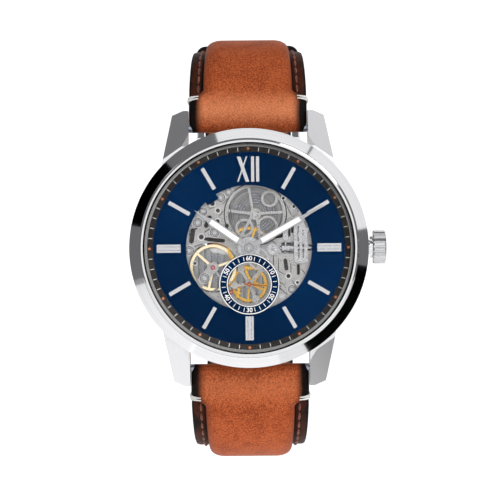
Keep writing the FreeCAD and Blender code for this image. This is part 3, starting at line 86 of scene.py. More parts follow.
class Surface:
    """A material in the making: a Principled shader, and short ways to feed it with patterns."""

    def __init__(self, name, **values):
        self.material = bpy.data.materials.new(name)
        self.material.use_nodes = True
        self.tree = self.material.node_tree
        self.shader = self.tree.nodes["Principled BSDF"]
        self.fill(self.shader, values)
        self.place = self.node("ShaderNodeTexCoord").outputs["Object"]

    def feed(self, socket, value):
        """Link an input to another node's output, or set its value."""
        if isinstance(value, bpy.types.NodeSocket):
            self.tree.links.new(value, socket)
        else:
            socket.default_value = value

    def fill(self, node, values):
        """Feed a node's inputs, named with _ for each space."""
        for name, value in values.items():
            self.feed(node.inputs[name.replace("_", " ")], value)

    def node(self, kind, settings=None, **values):
        node = self.tree.nodes.new(kind)
        for setting, value in (settings or {}).items():
            setattr(node, setting, value)
        self.fill(node, values)
        return node

    def math(self, operation, first, second=0.5):
        node = self.node("ShaderNodeMath", {"operation": operation})
        self.feed(node.inputs[0], first)
        self.feed(node.inputs[1], second)
        return node.outputs[0]

    def scaled(self, patch, place=None, **values):
        """Places counted in patches of a size in mm, one size or three along X, Y and Z."""
        sizes = patch if isinstance(patch, tuple) else (patch,) * 3
        scale = [1 / (size * MM) for size in sizes]
        mapped = self.node("ShaderNodeMapping", Vector=place or self.place, Scale=scale, **values)
        return mapped.outputs[0]

    def noise(self, patch, detail=2.0, place=None):
        """Noise in patches of about the given size in mm."""
        places = self.scaled(patch, place)
        return self.node("ShaderNodeTexNoise", Vector=places, Scale=1.0, Detail=detail).outputs["Fac"]

    def around(self, u=0.0, v=0.0):
        """Turn about the dial's axis, distance from it and depth, for circular patterns."""
        moved = self.node("ShaderNodeMapping", Vector=self.place, Location=(-u * MM, 0, -v * MM))
        split = self.node("ShaderNodeSeparateXYZ", Vector=moved.outputs[0])
        turn = self.math("ARCTAN2", split.outputs["Z"], split.outputs["X"])
        flat = self.node("ShaderNodeCombineXYZ", X=split.outputs["X"], Y=split.outputs["Z"])
        length = self.node("ShaderNodeVectorMath", {"operation": "LENGTH"})
        self.tree.links.new(flat.outputs[0], length.inputs[0])
        return turn, length.outputs["Value"], split.outputs["Y"]

    def ramp(self, factor, *stops):
        """Colours or greys along a factor, each stop a place and a colour."""
        node = self.node("ShaderNodeValToRGB", Fac=factor)
        elements = node.color_ramp.elements
        while len(elements) < len(stops):
            elements.new(0.5)
        for element, (place, colour) in zip(elements, stops):
            element.position = place
            element.color = (colour if isinstance(colour, tuple) else (colour,) * 3) + (1.0,)
        return node.outputs["Color"]

    def mix(self, factor, first, second):
        """A blend from one colour to another; its colour inputs are numbers 6 and 7."""
        node = self.node("ShaderNodeMix", {"data_type": "RGBA"})
        self.feed(node.inputs[0], factor)
        for socket, value in ((node.inputs[6], first), (node.inputs[7], second)):
            self.feed(socket, value + (1.0,) if isinstance(value, tuple) else value)
        return node.outputs[2]

    def rough(self, factor, low, high):
        """Roughness that wanders between two values with a pattern."""
        spread = self.node("ShaderNodeMapRange", Value=factor, To_Min=low, To_Max=high)
        self.fill(self.shader, {"Roughness": spread.outputs[0]})

    def bump(self, height, depth, strength=1.0):
        """Relief of a depth in mm."""
        node = self.node("ShaderNodeBump", Height=height, Distance=depth * MM, Strength=strength)
        self.fill(self.shader, {"Normal": node.outputs[0]})

    def colour(self, socket):
        self.fill(self.shader, {"Base_Color": socket})


def metal(name, dark, light, low, high, patch, depth=0.002):
    """Metal whose finish is a noise stretched along its brushing, between two shades."""
    surface = Surface(name, Metallic=1.0)
    grain = surface.noise(patch, 3.0)
    surface.colour(surface.ramp(grain, (0.3, dark), (0.7, light)))
    surface.rough(grain, low, high)
    surface.bump(grain, depth)
    return surface.material


def turned_metal(name, dark, light, low, high, depth=0.001, spot=(0.0, 0.0)):
    """Metal with the fine rings that a lathe leaves about an axis through the dial."""
    surface = Surface(name, Metallic=1.0)
    turn, distance, level = surface.around(*spot)
    rings = surface.node("ShaderNodeCombineXYZ", X=distance, Y=level,
                         Z=surface.math("MULTIPLY", turn, 0.0004))
    grain = surface.noise((0.06, 0.2, 0.4), 3.0, rings.outputs[0])
    surface.colour(surface.ramp(grain, (0.3, dark), (0.7, light)))
    surface.rough(grain, low, high)
    surface.bump(grain, depth)
    return surface.material


def dial_paint(name, deep, bright):
    """Sunray blue: rays brushed out from the centre under clear lacquer."""
    surface = Surface(name, Metallic=1.0, Anisotropic=0.6)
    turn, distance, _ = surface.around()
    rays = surface.node("ShaderNodeCombineXYZ", X=surface.math("MULTIPLY", turn, 0.012),
                        Y=surface.math("MULTIPLY", distance, 0.02))
    grain = surface.noise((0.06, 0.06, 0.06), 3.0, rays.outputs[0])
    surface.colour(surface.ramp(grain, (0.25, deep), (0.75, bright)))
    surface.rough(grain, 0.34, 0.46)
    tangent = surface.node("ShaderNodeTangent", {"direction_type": "RADIAL", "axis": "Y"})
    surface.fill(surface.shader, {"Tangent": tangent.outputs[0]})
    return surface.material


def glass(name):
    """Mineral glass with a faint trace of wiping on it."""
    surface = Surface(name, Transmission_Weight=1.0, IOR=1.07, Base_Color=(1, 1, 1, 1))
    surface.rough(surface.noise(6.0), 0.0, 0.015)
    clear = surface.node("ShaderNodeBsdfTransparent")
    path = surface.node("ShaderNodeLightPath")
    both = surface.node("ShaderNodeMixShader", Fac=path.outputs["Is Shadow Ray"])
    surface.tree.links.new(surface.shader.outputs[0], both.inputs[1])
    surface.tree.links.new(clear.outputs[0], both.inputs[2])
    surface.tree.links.new(both.outputs[0], surface.tree.nodes["Material Output"].inputs["Surface"])
    return surface.material


def enamel(name, first, second, low, high, patch=0.3, **values):
    """Paint or plastic with a fine unevenness."""
    surface = Surface(name, **values)
    grain = surface.noise(patch, 3.0)
    surface.colour(surface.ramp(grain, (0.3, first), (0.7, second)))
    surface.rough(grain, low, high)
    surface.bump(grain, 0.004)
    return surface.material


def striped(name, dark, light, width):
    """Straight stripes of a given width in mm, each cut with fine curved tool marks."""
    surface = Surface(name, Metallic=1.0)
    split = surface.node("ShaderNodeSeparateXYZ", Vector=surface.place)
    share = surface.math("DIVIDE", split.outputs["X"], width * MM)
    stripe = surface.math("FRACT", share)
    grain = surface.noise((0.12, 1.0, 0.03), 2.0)
    both = surface.math("ADD", surface.math("MULTIPLY", stripe, 0.7), surface.math("MULTIPLY", grain, 0.3))
    surface.colour(surface.ramp(both, (0.1, dark), (0.9, light)))
    surface.rough(both, 0.22, 0.36)
    surface.bump(both, 0.01)
    return surface.material


def perlage(name, dark, light, pitch):
    """Plate covered with small overlapping circles left by a turning peg."""
    surface = Surface(name, Metallic=1.0)
    cells = surface.node("ShaderNodeTexVoronoi", {"feature": "F1"}, Vector=surface.scaled(pitch),
                         Scale=1.0, Randomness=0.15)
    rings = surface.math("FRACT", surface.math("MULTIPLY", cells.outputs["Distance"], 5.0))
    grain = surface.noise(0.15, 3.0)
    both = surface.math("ADD", surface.math("MULTIPLY", rings, 0.35), surface.math("MULTIPLY", grain, 0.65))
    surface.colour(surface.ramp(both, (0.25, dark), (0.75, light)))
    surface.rough(both, 0.25, 0.45)
    surface.bump(both, 0.006)
    return surface.material


def leather(name, light, mid, edge, dark, bend_highlight_colour, low=0.42, high=0.62):
    """Smooth calf leather: fine grain, uneven dye, darker edges that are partly dyed and partly painted
    shade, and a painted highlight on the bend beside the case.
    """
    surface = Surface(name, Specular_IOR_Level=0.08)
    grain = surface.noise(0.28, 3.0)
    pores = surface.node("ShaderNodeTexVoronoi", Vector=surface.scaled(0.42), Scale=1.0)
    cloud = surface.noise(3.5, 3.0)
    tone = surface.math("ADD", surface.math("MULTIPLY", grain, 0.75), surface.math("MULTIPLY", cloud, 0.25))
    dye_and_highlight = surface.ramp(tone, (0.38, mid), (0.62, light))
    bend_highlight = surface.node("ShaderNodeAttribute", {"attribute_name": "bend_highlight"}).outputs["Fac"]
    # Mix in the painted highlight on the bend beside the case.
    dye_and_highlight = surface.mix(surface.math("MULTIPLY", bend_highlight, surface.math("ADD", grain, 0.1)), dye_and_highlight, bend_highlight_colour)
    # The darkening holds the dyed edges, and painted shade on the roundings and in the crease at the
    # crown's foot.
    edge_dye_and_shade = surface.node("ShaderNodeAttribute", {"attribute_name": "edge_dye_and_shade"}).outputs["Fac"]
    patchy = surface.math("MULTIPLY", surface.math("SUBTRACT", cloud, 0.5), 0.3)
    wander = surface.math("ADD", edge_dye_and_shade, patchy)
    shade = surface.ramp(wander, (0.0, 0.0), (0.95, 1.0))
    brown = surface.mix(shade, dye_and_highlight, surface.ramp(wander, (0.35, edge), (0.95, dark)))
    surface.colour(brown)
    surface.rough(grain, low, high)
    height = surface.math("ADD", surface.math("MULTIPLY", grain, 0.5),
                          surface.math("MULTIPLY", pores.outputs["Distance"], 0.5))
    surface.bump(height, 0.06, 0.55)
    return surface.material


def thread(name, first, second, strand):
    """Twisted sewing thread; strand is the length of one twist in mm."""
    surface = Surface(name, Roughness=0.7, Sheen_Weight=0.3)
    slanted = surface.scaled(strand, Rotation=(0.6, 0.0, 0.8))
    twist = surface.node("ShaderNodeTexWave", {"wave_type": "BANDS"}, Vector=slanted, Scale=0.5,
                         Distortion=1.0)
    surface.colour(surface.ramp(twist.outputs["Fac"], (0.2, first), (0.8, second)))
    surface.bump(twist.outputs["Fac"], 0.05, 0.6)
    return surface.material


STEEL_DARK, STEEL_LIGHT = (0.62, 0.62, 0.63), (0.74, 0.74, 0.75)

polished_steel = turned_metal("polished_steel", STEEL_DARK, STEEL_LIGHT, 0.05, 0.10, 0.0004)
brushed_case = metal("brushed_case", STEEL_DARK, STEEL_LIGHT, 0.24, 0.36, (0.05, 0.05, 1.6))
brushed_crown = metal("brushed_crown", (0.44, 0.44, 0.45), (0.60, 0.60, 0.61), 0.14, 0.24,
                      (1.2, 0.06, 0.06))
turned_back = turned_metal("turned_back", STEEL_DARK, STEEL_LIGHT, 0.2, 0.34, 0.002)
applied_steel = metal("applied_steel", (0.46, 0.46, 0.47), (0.56, 0.56, 0.57), 0.16, 0.26,
                      (0.05, 0.05, 0.6), 0.0008)
movement_steel = metal("movement_steel", (0.28, 0.28, 0.29), (0.56, 0.56, 0.57), 0.16, 0.30,
                       (0.5, 0.1, 0.05), 0.002)
plate_rhodium = perlage("plate_rhodium", 0.12, (0.58, 0.57, 0.56), 0.9)
bridge_rhodium = striped("bridge_rhodium", 0.15, (0.34, 0.34, 0.335), 1.3)
barrel_steel = turned_metal("barrel_steel", 0.09, 0.30, 0.22, 0.36, 0.002, BARREL)
# Flat black for the lines round the hand's cap, and for painted shade on the movement's plate.
black_lines_and_shade = enamel("black_lines_and_shade", (0.010, 0.010, 0.011), (0.03, 0.03, 0.032), 0.35, 0.5, 0.2)
hand_steel = metal("hand_steel", (0.30, 0.30, 0.31), (0.44, 0.44, 0.45), 0.14, 0.22,
                   (0.05, 0.05, 0.6), 0.0008)
rotor_steel = striped("rotor_steel", (0.45, 0.45, 0.46), 0.74, 2.2)
gilt_brass = metal("gilt_brass", (0.46, 0.27, 0.05), (0.74, 0.46, 0.12), 0.18, 0.32, 0.12)
copper_hand = metal("copper_hand", (0.20, 0.07, 0.035), (0.40, 0.15, 0.07), 0.2, 0.3,
                    (0.4, 0.1, 0.05), 0.001)
pale_gold = metal("pale_gold", (0.72, 0.60, 0.38), (0.90, 0.80, 0.58), 0.16, 0.28, 0.15)
# Dark steel: its own colour on the mainspring and hairspring, painted shade on the spring bars and the
# baton strips.
dark_steel_and_shade = metal("dark_steel_and_shade", (0.20, 0.22, 0.28), (0.42, 0.44, 0.48), 0.2, 0.35, 0.2)
seal_rubber = enamel("seal_rubber", 0.012, 0.03, 0.5, 0.7)
gasket_nylon = enamel("gasket_nylon", 0.50, (0.68, 0.68, 0.67), 0.25, 0.4)
track_black = enamel("track_black", (0.012, 0.010, 0.009), (0.024, 0.019, 0.017), 0.45, 0.6,
                     Specular_IOR_Level=0.25)
ruby = enamel("ruby", (0.30, 0.015, 0.03), (0.55, 0.05, 0.07), 0.05, 0.12, 0.5,
              Coat_Weight=0.5, Transmission_Weight=0.25, IOR=1.76)
lume_white = enamel("lume_white", (0.86, 0.88, 0.84), (0.94, 0.95, 0.92), 0.55, 0.7, 0.08)
print_white = enamel("print_white", (0.80, 0.80, 0.79), (0.90, 0.90, 0.89), 0.45, 0.6, 0.1)
print_copper = enamel("print_copper", (0.42, 0.13, 0.05), (0.60, 0.22, 0.09), 0.35, 0.5, 0.1)
dial_blue = dial_paint("dial_blue", (0.0004, 0.008, 0.034), (0.0011, 0.018, 0.064))
crystal_glass = glass("crystal_glass")
# The last colour of the strap leather is the painted highlight on the bend beside the case.
strap_leather = leather("strap_leather", (0.60, 0.138, 0.043), (0.25, 0.042, 0.011),
                        (0.060, 0.014, 0.007), (0.008, 0.005, 0.0045), (0.86, 0.30, 0.13))
lining_leather = leather("lining_leather", (0.55, 0.32, 0.16), (0.40, 0.21, 0.10),
                         (0.20, 0.09, 0.04), (0.03, 0.015, 0.01), (0.55, 0.32, 0.16), 0.6, 0.75)
stitch_thread = thread("stitch_thread", (0.10, 0.022, 0.008), (0.34, 0.085, 0.03), 0.5)
tack_thread = thread("tack_thread", (0.74, 0.71, 0.68), (0.95, 0.93, 0.91), 0.35)

NODE_FINISH = {
    brushed_case: ["mid_case"],
    polished_steel: ["bezel", "crown_tube", "buckle_frame", "buckle_prong"],
    turned_back: ["case_back"],
    brushed_crown: ["crown"],
    crystal_glass: ["crystal", "case_back_crystal"],
    gasket_nylon: ["case_gaskets"],
    seal_rubber: ["crown_gasket"],
    dial_blue: ["dial", "small_seconds_ring"],
    track_black: ["minute_track_ring"],
    applied_steel: ["hour_indices", "numeral_twelve"],
    hand_steel: ["hour_hand", "minute_hand"],
    copper_hand: ["seconds_hand"],
    plate_rhodium: ["main_plate"],
    bridge_rhodium: ["barrel_bridge", "train_bridge", "balance_cock", "pallet_bridge", "movement_ring"],
    barrel_steel: ["barrel_drum", "barrel_cover"],
    rotor_steel: ["oscillating_weight"],
    movement_steel: ["keyless_cover", "movement_screws", "winding_stem", "winding_pinion", "yoke",
                     "sliding_clutch", "setting_lever", "crown_wheel", "ratchet_wheel", "barrel_arbor",
                     "click", "click_spring", "setting_wheel", "minute_wheel", "hour_wheel",
                     "cannon_pinion", "pallet_fork", "balance_staff", "reverser_wheel"],
    # The spring bars take the dark steel as painted shade of the gaps between the lugs.
    dark_steel_and_shade: ["mainspring", "hairspring", "spring_bars"],
    gilt_brass: ["center_wheel", "third_wheel", "fourth_wheel", "escape_wheel"],
    pale_gold: ["balance_wheel"],
    ruby: ["jewels"],
}


def finish_nodes():
    """Give each CAD node its material."""
    for material, names in NODE_FINISH.items():
        for name in names:
            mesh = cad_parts[name].data
            mesh.materials.clear()
            mesh.materials.append(material)


# ------------------------------ building meshes

def solid_mesh(name, points, faces):
    """A mesh with all of its faces turned outward."""
    mesh = bpy.data.meshes.new(name)
    mesh.from_pydata(points, [], faces)
    work = bmesh.new()
    work.from_mesh(mesh)
    bmesh.ops.recalc_face_normals(work, faces=work.faces)
    work.to_mesh(mesh)
    work.free()
    return mesh


def in_scene(name, data):
    """A new object of the scene."""
    made = bpy.data.objects.new(name, data)
    scene.collection.objects.link(made)
    return made


def piece(name, mesh, body):
    """A piece that moves with a body."""
    made = in_scene(name, mesh)
    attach(made, body)
    return made


class Builder:
    """Collects several solids into one mesh."""

    def __init__(self):
        self.points, self.faces = [], []

    def loft(self, loops, closed=False):
        """Join loops of equally many points, each to the next, back to the first or capped at the ends."""
        first = len(self.points)
        count = len(loops[0])
        for loop in loops:
            self.points.extend(loop)
        rows = len(loops)
        for row in range(rows if closed else rows - 1):
            here, there = first + row * count, first + (row + 1) % rows * count
            for k in range(count):
                after = (k + 1) % count
                self.faces.append((here + k, here + after, there + after, there + k))
        if not closed:
            self.faces.append(tuple(range(first + count - 1, first - 1, -1)))
            self.faces.append(tuple(range(first + (rows - 1) * count, first + rows * count)))

    def slab(self, outline, low, high):
        """A flat shape between two levels; outline holds (u, v) places, or (u, v, extra level)."""
        self.loft([[at(u, v, level + sum(extra)) for u, v, *extra in outline] for level in (low, high)])

    def make(self, name, material, body, slot, smooth=False):
        """The piece that the collected solids make."""
        mesh = solid_mesh(name, self.points, self.faces)
        mesh.polygons.foreach_set("use_smooth", [smooth] * len(mesh.polygons))
        mesh.materials.append(material)
        return piece(name, mesh, body)


def round_outline(radius, u=0.0, v=0.0, sides=32):
    """Places round a circle on the dial."""
    return [polar(radius, 360 * k / sides, u, v) for k in range(sides)]


def flat_ring(builder, outer, inner, low, high, u=0.0, v=0.0, sides=128):
    """A flat ring between two levels."""
    loops = []
    for k in range(sides):
        degrees = 360 * k / sides
        near, far = polar(inner, degrees, u, v), polar(outer, degrees, u, v)
        loops.append([at(*near, low), at(*far, low), at(*far, high), at(*near, high)])
    builder.loft(loops, closed=True)


# ------------------------------ the strap's path

LEATHER = 3.4                               # thickness of the padded leather
HALF_LEATHER = LEATHER / 2
BAR_RADIUS = 0.9
BAR_V = reach("spring_bars", 2) - BAR_RADIUS
BAR_W = front("spring_bars") - BAR_RADIUS
STRAP_REACH = reach("upper_strap", 2) - HALF_LEATHER
SHOULDER = -14.5                            # level where the strap has turned straight back
SIDE_RUN = 13.0                             # straight stretch beside the wrist
RISE = BAR_W - SHOULDER
STEP_OUT = STRAP_REACH - BAR_V
TURN_RADIUS = (STEP_OUT ** 2 + RISE ** 2) / (2 * STEP_OUT)
TURN_START = math.asin(RISE / TURN_RADIUS)
TURN_LENGTH = TURN_RADIUS * TURN_START
LOOP_LEVEL = SHOULDER - SIDE_RUN
UPPER_LENGTH, LOWER_LENGTH = 79.0, 118.0    # from the lugs to the buckle's bar and to the tip
FULL_HALF = reach("upper_strap", 0)
END_HALF = FULL_HALF - 2.0
TAPER_TOP, TAPER_END = 1.0, -40.0           # levels between which the strap narrows
TACK_AT = 5.3                               # the white tacks, from the lug's bar


def path(distance):
    """(v, w, angle) of the leather's middle; angle is the direction outward, in radians."""
    if distance <= TURN_LENGTH:
        angle = TURN_START - distance / TURN_RADIUS
        return (STRAP_REACH - TURN_RADIUS + TURN_RADIUS * math.cos(angle),
                SHOULDER + TURN_RADIUS * math.sin(angle), angle)
    if distance <= TURN_LENGTH + SIDE_RUN:
        return STRAP_REACH, SHOULDER - (distance - TURN_LENGTH), 0.0
    angle = -(distance - TURN_LENGTH - SIDE_RUN) / STRAP_REACH
    return STRAP_REACH * math.cos(angle), LOOP_LEVEL + STRAP_REACH * math.sin(angle), angle


def strap_place(side, distance, across, outward):
    """A point of the frame on the upper (side 1) or lower (side -1) strap."""
    v, w, angle = path(distance)
    return at(across, side * (v + outward * math.cos(angle)), w + outward * math.sin(angle))


def strap_outward(side, distance):
    """The direction straight out of the leather at a distance from the lugs."""
    angle = path(distance)[2]
    return Vector((0, -math.sin(angle), side * math.cos(angle)))


def half_width(distance):
    """Half the strap's width: full at the lugs, narrower as it goes round the wrist."""
    level = path(distance)[1]
    share = min(1.0, max(0.0, (TAPER_TOP - level) / (TAPER_TOP - TAPER_END)))
    return FULL_HALF - (FULL_HALF - END_HALF) * share


def smooth_step(low, high, value):
    """0 below low, 1 above high and a soft rise between them."""
    t = min(1.0, max(0.0, (value - low) / (high - low)))
    return t * t * (3 - 2 * t)


# ------------------------------ leather

EDGE_ROUND, EDGE_DROP = 3.2, 1.5        # how the full padding rounds down at the strap's edge
DARK_EDGE_WIDTH = 1.1                         # width of the edge that is fully dark
CROWN_INSET = 2.9                       # from the strap's edge to the foot of the padded crown
CROWN_SHOULDER, CROWN_DROP = 3.0, 1.7   # how the crown rounds down
FLANGE = -0.8                           # level of the flat edges beside the crown
EDGE_CORNER = 0.35                      # bevel between the edge and the lining
# How much darker the lining is made.
LINING_DARKENING = 0.3
FLAT_POINTS, ROUND_POINTS = 7, 9
LINING_STARTS = 6                       # points of the edge between the rounding and the lining
STATION_STEP = 0.8
CUT_REACH = 4.0                         # how far the slot and holes are cut from the leather's middle


def half_profile(half, crowned):
    """Half a section from its middle to its edge and back underneath, as (across, outward, darkening),
    where the darkening is the dyed edge and painted shade.

    crowned goes from 0, padded over the full width, to 1, a padded crown between flat edges.
    """
    foot = max(half - CROWN_INSET, half * 0.55)
    plain_round = min(EDGE_ROUND, half * 0.6)
    crown_round = min(CROWN_SHOULDER, foot * 0.6)
    plain, crown = [], []
    for k in range(FLAT_POINTS):
        share = k / FLAT_POINTS
        plain.append(((half - plain_round) * share, HALF_LEATHER, 0.0))
        crown.append(((foot - crown_round) * share, HALF_LEATHER, 0.0))
    # Along the roundings the plain edge darkens outward, partly the dyed edge and partly painted shade; the
    # crown darkens towards its foot as painted shade.
    for k in range(ROUND_POINTS):
        turn = math.pi / 2 * k / (ROUND_POINTS - 1)
        share = (k / (ROUND_POINTS - 1)) ** 2
        across = half - plain_round + plain_round * math.sin(turn)
        plain.append((across, HALF_LEATHER - EDGE_DROP * (1 - math.cos(turn)),
                      smooth_step(half - EDGE_ROUND, half - DARK_EDGE_WIDTH, across)))
        crown.append((foot - crown_round + crown_round * math.sin(turn),
                      HALF_LEATHER - CROWN_DROP * (1 - math.cos(turn)), 0.5 * share))
    plain += [(half, -0.1 - 0.3 * k, 1.0) for k in range(5)]
    plain += [(half - 0.1, -1.55, 1.0), (half - EDGE_CORNER, -HALF_LEATHER, 1.0)]
    # The crease at the crown's foot is darkest, painted shade; the flanges and the outer edges are dyed
    # dark.
    crown += [(foot + 0.02, -0.55, 0.9), (foot + 0.2, FLANGE - 0.3, 1.1), (foot + 0.5, FLANGE, 0.85),
              (half - 0.6, FLANGE + 0.02, 0.88), (half - 0.1, FLANGE - 0.2, 1.0),
              (half, -1.3, 1.0), (half - EDGE_CORNER, -HALF_LEATHER, 1.0)]
    return [tuple(a + (b - a) * crowned for a, b in zip(one, other)) for one, other in zip(plain, crown)]


def section(half, crowned, squeeze):
    """A whole closed section: down the right half, under, and up the left half."""
    right = half_profile(half, crowned)
    flat = half - EDGE_CORNER
    under = [(flat * (1 - k / 6), -HALF_LEATHER, LINING_DARKENING) for k in range(1, 7)]
    left = [(-x, out, dark) for x, out, dark in reversed(right[1:] + under[:-1])]
    return [(x, out * squeeze, dark) for x, out, dark in right + under + left]


def round_end(direction, distance):
    """Stations and squeezes of the leather folded round a bar at a distance."""
    steps = [k / 8 for k in range(1, 8)] + [0.985]
    ends = [(distance + direction * HALF_LEATHER * math.sin(math.pi / 2 * k),
             math.cos(math.pi / 2 * k)) for k in steps]
    return ends if direction > 0 else ends[::-1]


def add_values(mesh, name, values):
    """Store a number for each point of a mesh, for its material to read."""
    attribute = mesh.attributes.new(name, "FLOAT", "POINT")
    attribute.data.foreach_set("value", values)


def bend_share(side, distance):
    """How strong the painted highlight is where the leather bends beside the case: mostly above the dial,
    weaker below it, as the light falls from above.
    """
    share = smooth_step(-1.0, 2.5, distance) * (1.0 - smooth_step(2.5, TACK_AT + 2.0, distance))
    return share * (1.1 if side > 0 else 0.35)


def strap_loops(side, rows):
    """Loops of points for rows of (distance, half width, crowned, squeeze), their darkening of dyed edge
    and painted shade, and their painted bend highlight.
    """
    loops, edge_dye_and_shade, bend_highlight = [], [], []
    for distance, half, crowned, squeeze in rows:
        loop = section(half, crowned, squeeze)
        loops.append([strap_place(side, distance, x, out) for x, out, _ in loop])
        edge_dye_and_shade.extend(min(1.0, dark) for _, _, dark in loop)
        bend_highlight.extend([bend_share(side, distance)] * len(loop))
    return loops, edge_dye_and_shade, bend_highlight


def crown_share(distance):
    """How far the section has turned from full padding to a crown between flat edges."""
    return smooth_step(TACK_AT - 0.2, TACK_AT + 1.6, distance)


def line_underside(mesh, loop_length):
    """Give the side that lies on the wrist its tan lining."""
    mesh.materials.append(lining_leather)
    first = FLAT_POINTS + ROUND_POINTS + LINING_STARTS
    for polygon in mesh.polygons:
        places = [index % loop_length for index in polygon.vertices]
        if len(places) == 4 and min(places) >= first and max(places) <= loop_length - first:
            polygon.material_index = 1


def leather_strap(name, side, rows, body, replaced):
    """One half of the strap in padded leather, in place of its CAD node."""
    loops, edge_dye_and_shade, bend_highlight = strap_loops(side, rows)
    builder = Builder()
    builder.loft(loops)
    made = builder.make(name, strap_leather, body, "strap_leather", smooth=True)
    add_values(made.data, "edge_dye_and_shade", edge_dye_and_shade)
    add_values(made.data, "bend_highlight", bend_highlight)
    line_underside(made.data, len(loops[0]))
    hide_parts(*replaced)
    return made


def cut_away(made, solids):
    """Take a builder's solids away from a piece."""
    cutter = in_scene("cutter", solid_mesh("cutter", solids.points, solids.faces))
    modifier = made.modifiers.new("cut", "BOOLEAN")
    modifier.object = cutter
    modifier.operation = "DIFFERENCE"
    modifier.solver = "EXACT"
    bpy.context.view_layer.update()
    shape = bpy.data.meshes.new_from_object(made.evaluated_get(bpy.context.evaluated_depsgraph_get()))
    made.modifiers.remove(modifier)
    made.data = shape
    bpy.data.objects.remove(cutter)


def strap_rows(length):
    """Rows of (distance, half width, crowned, squeeze) from round the lug's bar to a length."""
    rows = [(s, half_width(s), 0.0, squeeze) for s, squeeze in round_end(-1, 0.0)]
    count = round(length / STATION_STEP)
    stations = [length * k / count for k in range(count + 1)]
    return rows + [(s, half_width(s), crown_share(s), 1.0) for s in stations]


def build_upper_leather():
    """The short half: it ends in a loop round the buckle's bar, slotted for the tongue."""
    crown_ends, all_plain = UPPER_LENGTH - 7, UPPER_LENGTH - 4
    rows = [(s, half, crowned * (1 - smooth_step(crown_ends, all_plain, s)), squeeze)
            for s, half, crowned, squeeze in strap_rows(UPPER_LENGTH)]
    end_half = half_width(UPPER_LENGTH)
    rows += [(s, end_half, 0.0, squeeze) for s, squeeze in round_end(1, UPPER_LENGTH)]
    made = leather_strap("upper_strap_leather", 1, rows, "strap_upper", ["upper_strap"])
    slot_half, slot_reach = 1.75, 4.0
    corners = ((-slot_half, -CUT_REACH), (slot_half, -CUT_REACH), (slot_half, CUT_REACH),
               (-slot_half, CUT_REACH))
    slot = Builder()
    slot.loft([[strap_place(1, s, x, out) for x, out in corners]
               for s in (UPPER_LENGTH - slot_reach, UPPER_LENGTH + slot_reach)])
    cut_away(made, slot)


def build_lower_leather():
    """The long half: a rounded tip and a row of holes for the tongue."""
    tip = 12.0
    start = LOWER_LENGTH - tip
    rows = strap_rows(start)
    steps = [math.sin(math.pi / 2 * k / 14) for k in range(1, 14)] + [0.9995]
    for share in steps:
        distance = start + tip * share
        half = half_width(distance) * math.sqrt(max(0.0, 1 - share ** 2.4)) ** 0.85
        squeeze = 1.0 if share < 0.97 else 0.8
        rows.append((distance, max(half, 0.5), 1.0 - smooth_step(0.3, 0.9, share), squeeze))
    made = leather_strap("lower_strap_leather", -1, rows, "strap_lower", ["lower_strap"])
    first_hole, spacing, radius, sides = 26.0, 6.5, 1.0, 24
    turns = [2 * math.pi * k / sides for k in range(sides)]
    holes = Builder()
    for hole in range(7):
        distance = LOWER_LENGTH - first_hole - spacing * hole
        holes.loft([[strap_place(-1, distance + radius * math.sin(turn), radius * math.cos(turn), out)
                     for turn in turns] for out in (-CUT_REACH, CUT_REACH)])
    cut_away(made, holes)


def lay_thread(builder, line, radius, normals):
    """A thread laid along points, thinner at its two ends; normals point out of the leather."""
    sides = 8
    turns = [2 * math.pi * k / sides for k in range(sides)]
    last = len(line) - 1
    loops = []
    for k, point in enumerate(line):
        ahead = (line[min(k + 1, last)] - line[max(k - 1, 0)]).normalized()
        side_way = ahead.cross(normals[k]).normalized()
        up = side_way.cross(ahead).normalized()
        size = radius * MM * max(0.25, math.sin(math.pi * k / last)) ** 0.45
        loops.append([point + side_way * (size * math.cos(turn)) + up * (size * math.sin(turn))
                      for turn in turns])
    builder.loft(loops)


def build_stitching(name, side, start, end, body):
    """Two rows of stitches, each stitch an arched thread that sinks into the flange at both ends."""
    pitch, length, radius = 2.6, 2.05, 0.24
    from_crown, top, sink, steps = 1.0, 0.16, 0.28, 6
    builder = Builder()
    count = int((end - start) / pitch)
    for hand in (-1, 1):
        for k in range(count):
            middle = start + pitch * (k + 0.5)
            line, normals = [], []
            for j in range(steps + 1):
                share = j / steps
                distance = middle + length * (share - 0.5)
                across = hand * (half_width(distance) - CROWN_INSET + from_crown)
                arch = FLANGE + top - sink * (2 * share - 1) ** 4
                line.append(strap_place(side, distance, across, arch))
                normals.append(strap_outward(side, distance))
            lay_thread(builder, line, radius, normals)
    builder.make(name, stitch_thread, body, "strap_leather", smooth=True)


def build_tacks(name, side, body):
    """Two white strands that run in over each edge of the strap where its crown begins."""
    strand_radius, reach_in, lowest, proud = 0.28, 2.35, -1.4, 0.14
    builder = Builder()
    for hand in (-1, 1):
        for strand in (-1.85, -0.15):
            distance = TACK_AT + strand * strand_radius
            half = half_width(distance)
            shell = [(x, out) for x, out, _ in half_profile(half, crown_share(distance))
                     if x > half - reach_in and out > lowest]
            shell.append((half, lowest - 0.1))
            line = [strap_place(side, distance, hand * (x + 0.05), out + proud) for x, out in shell]
            leaning = strap_outward(side, distance) + Vector((hand * 0.5, 0, 0))
            lay_thread(builder, line, strand_radius, [leaning] * len(line))
    builder.make(name, tack_thread, body, "strap_leather", smooth=True)


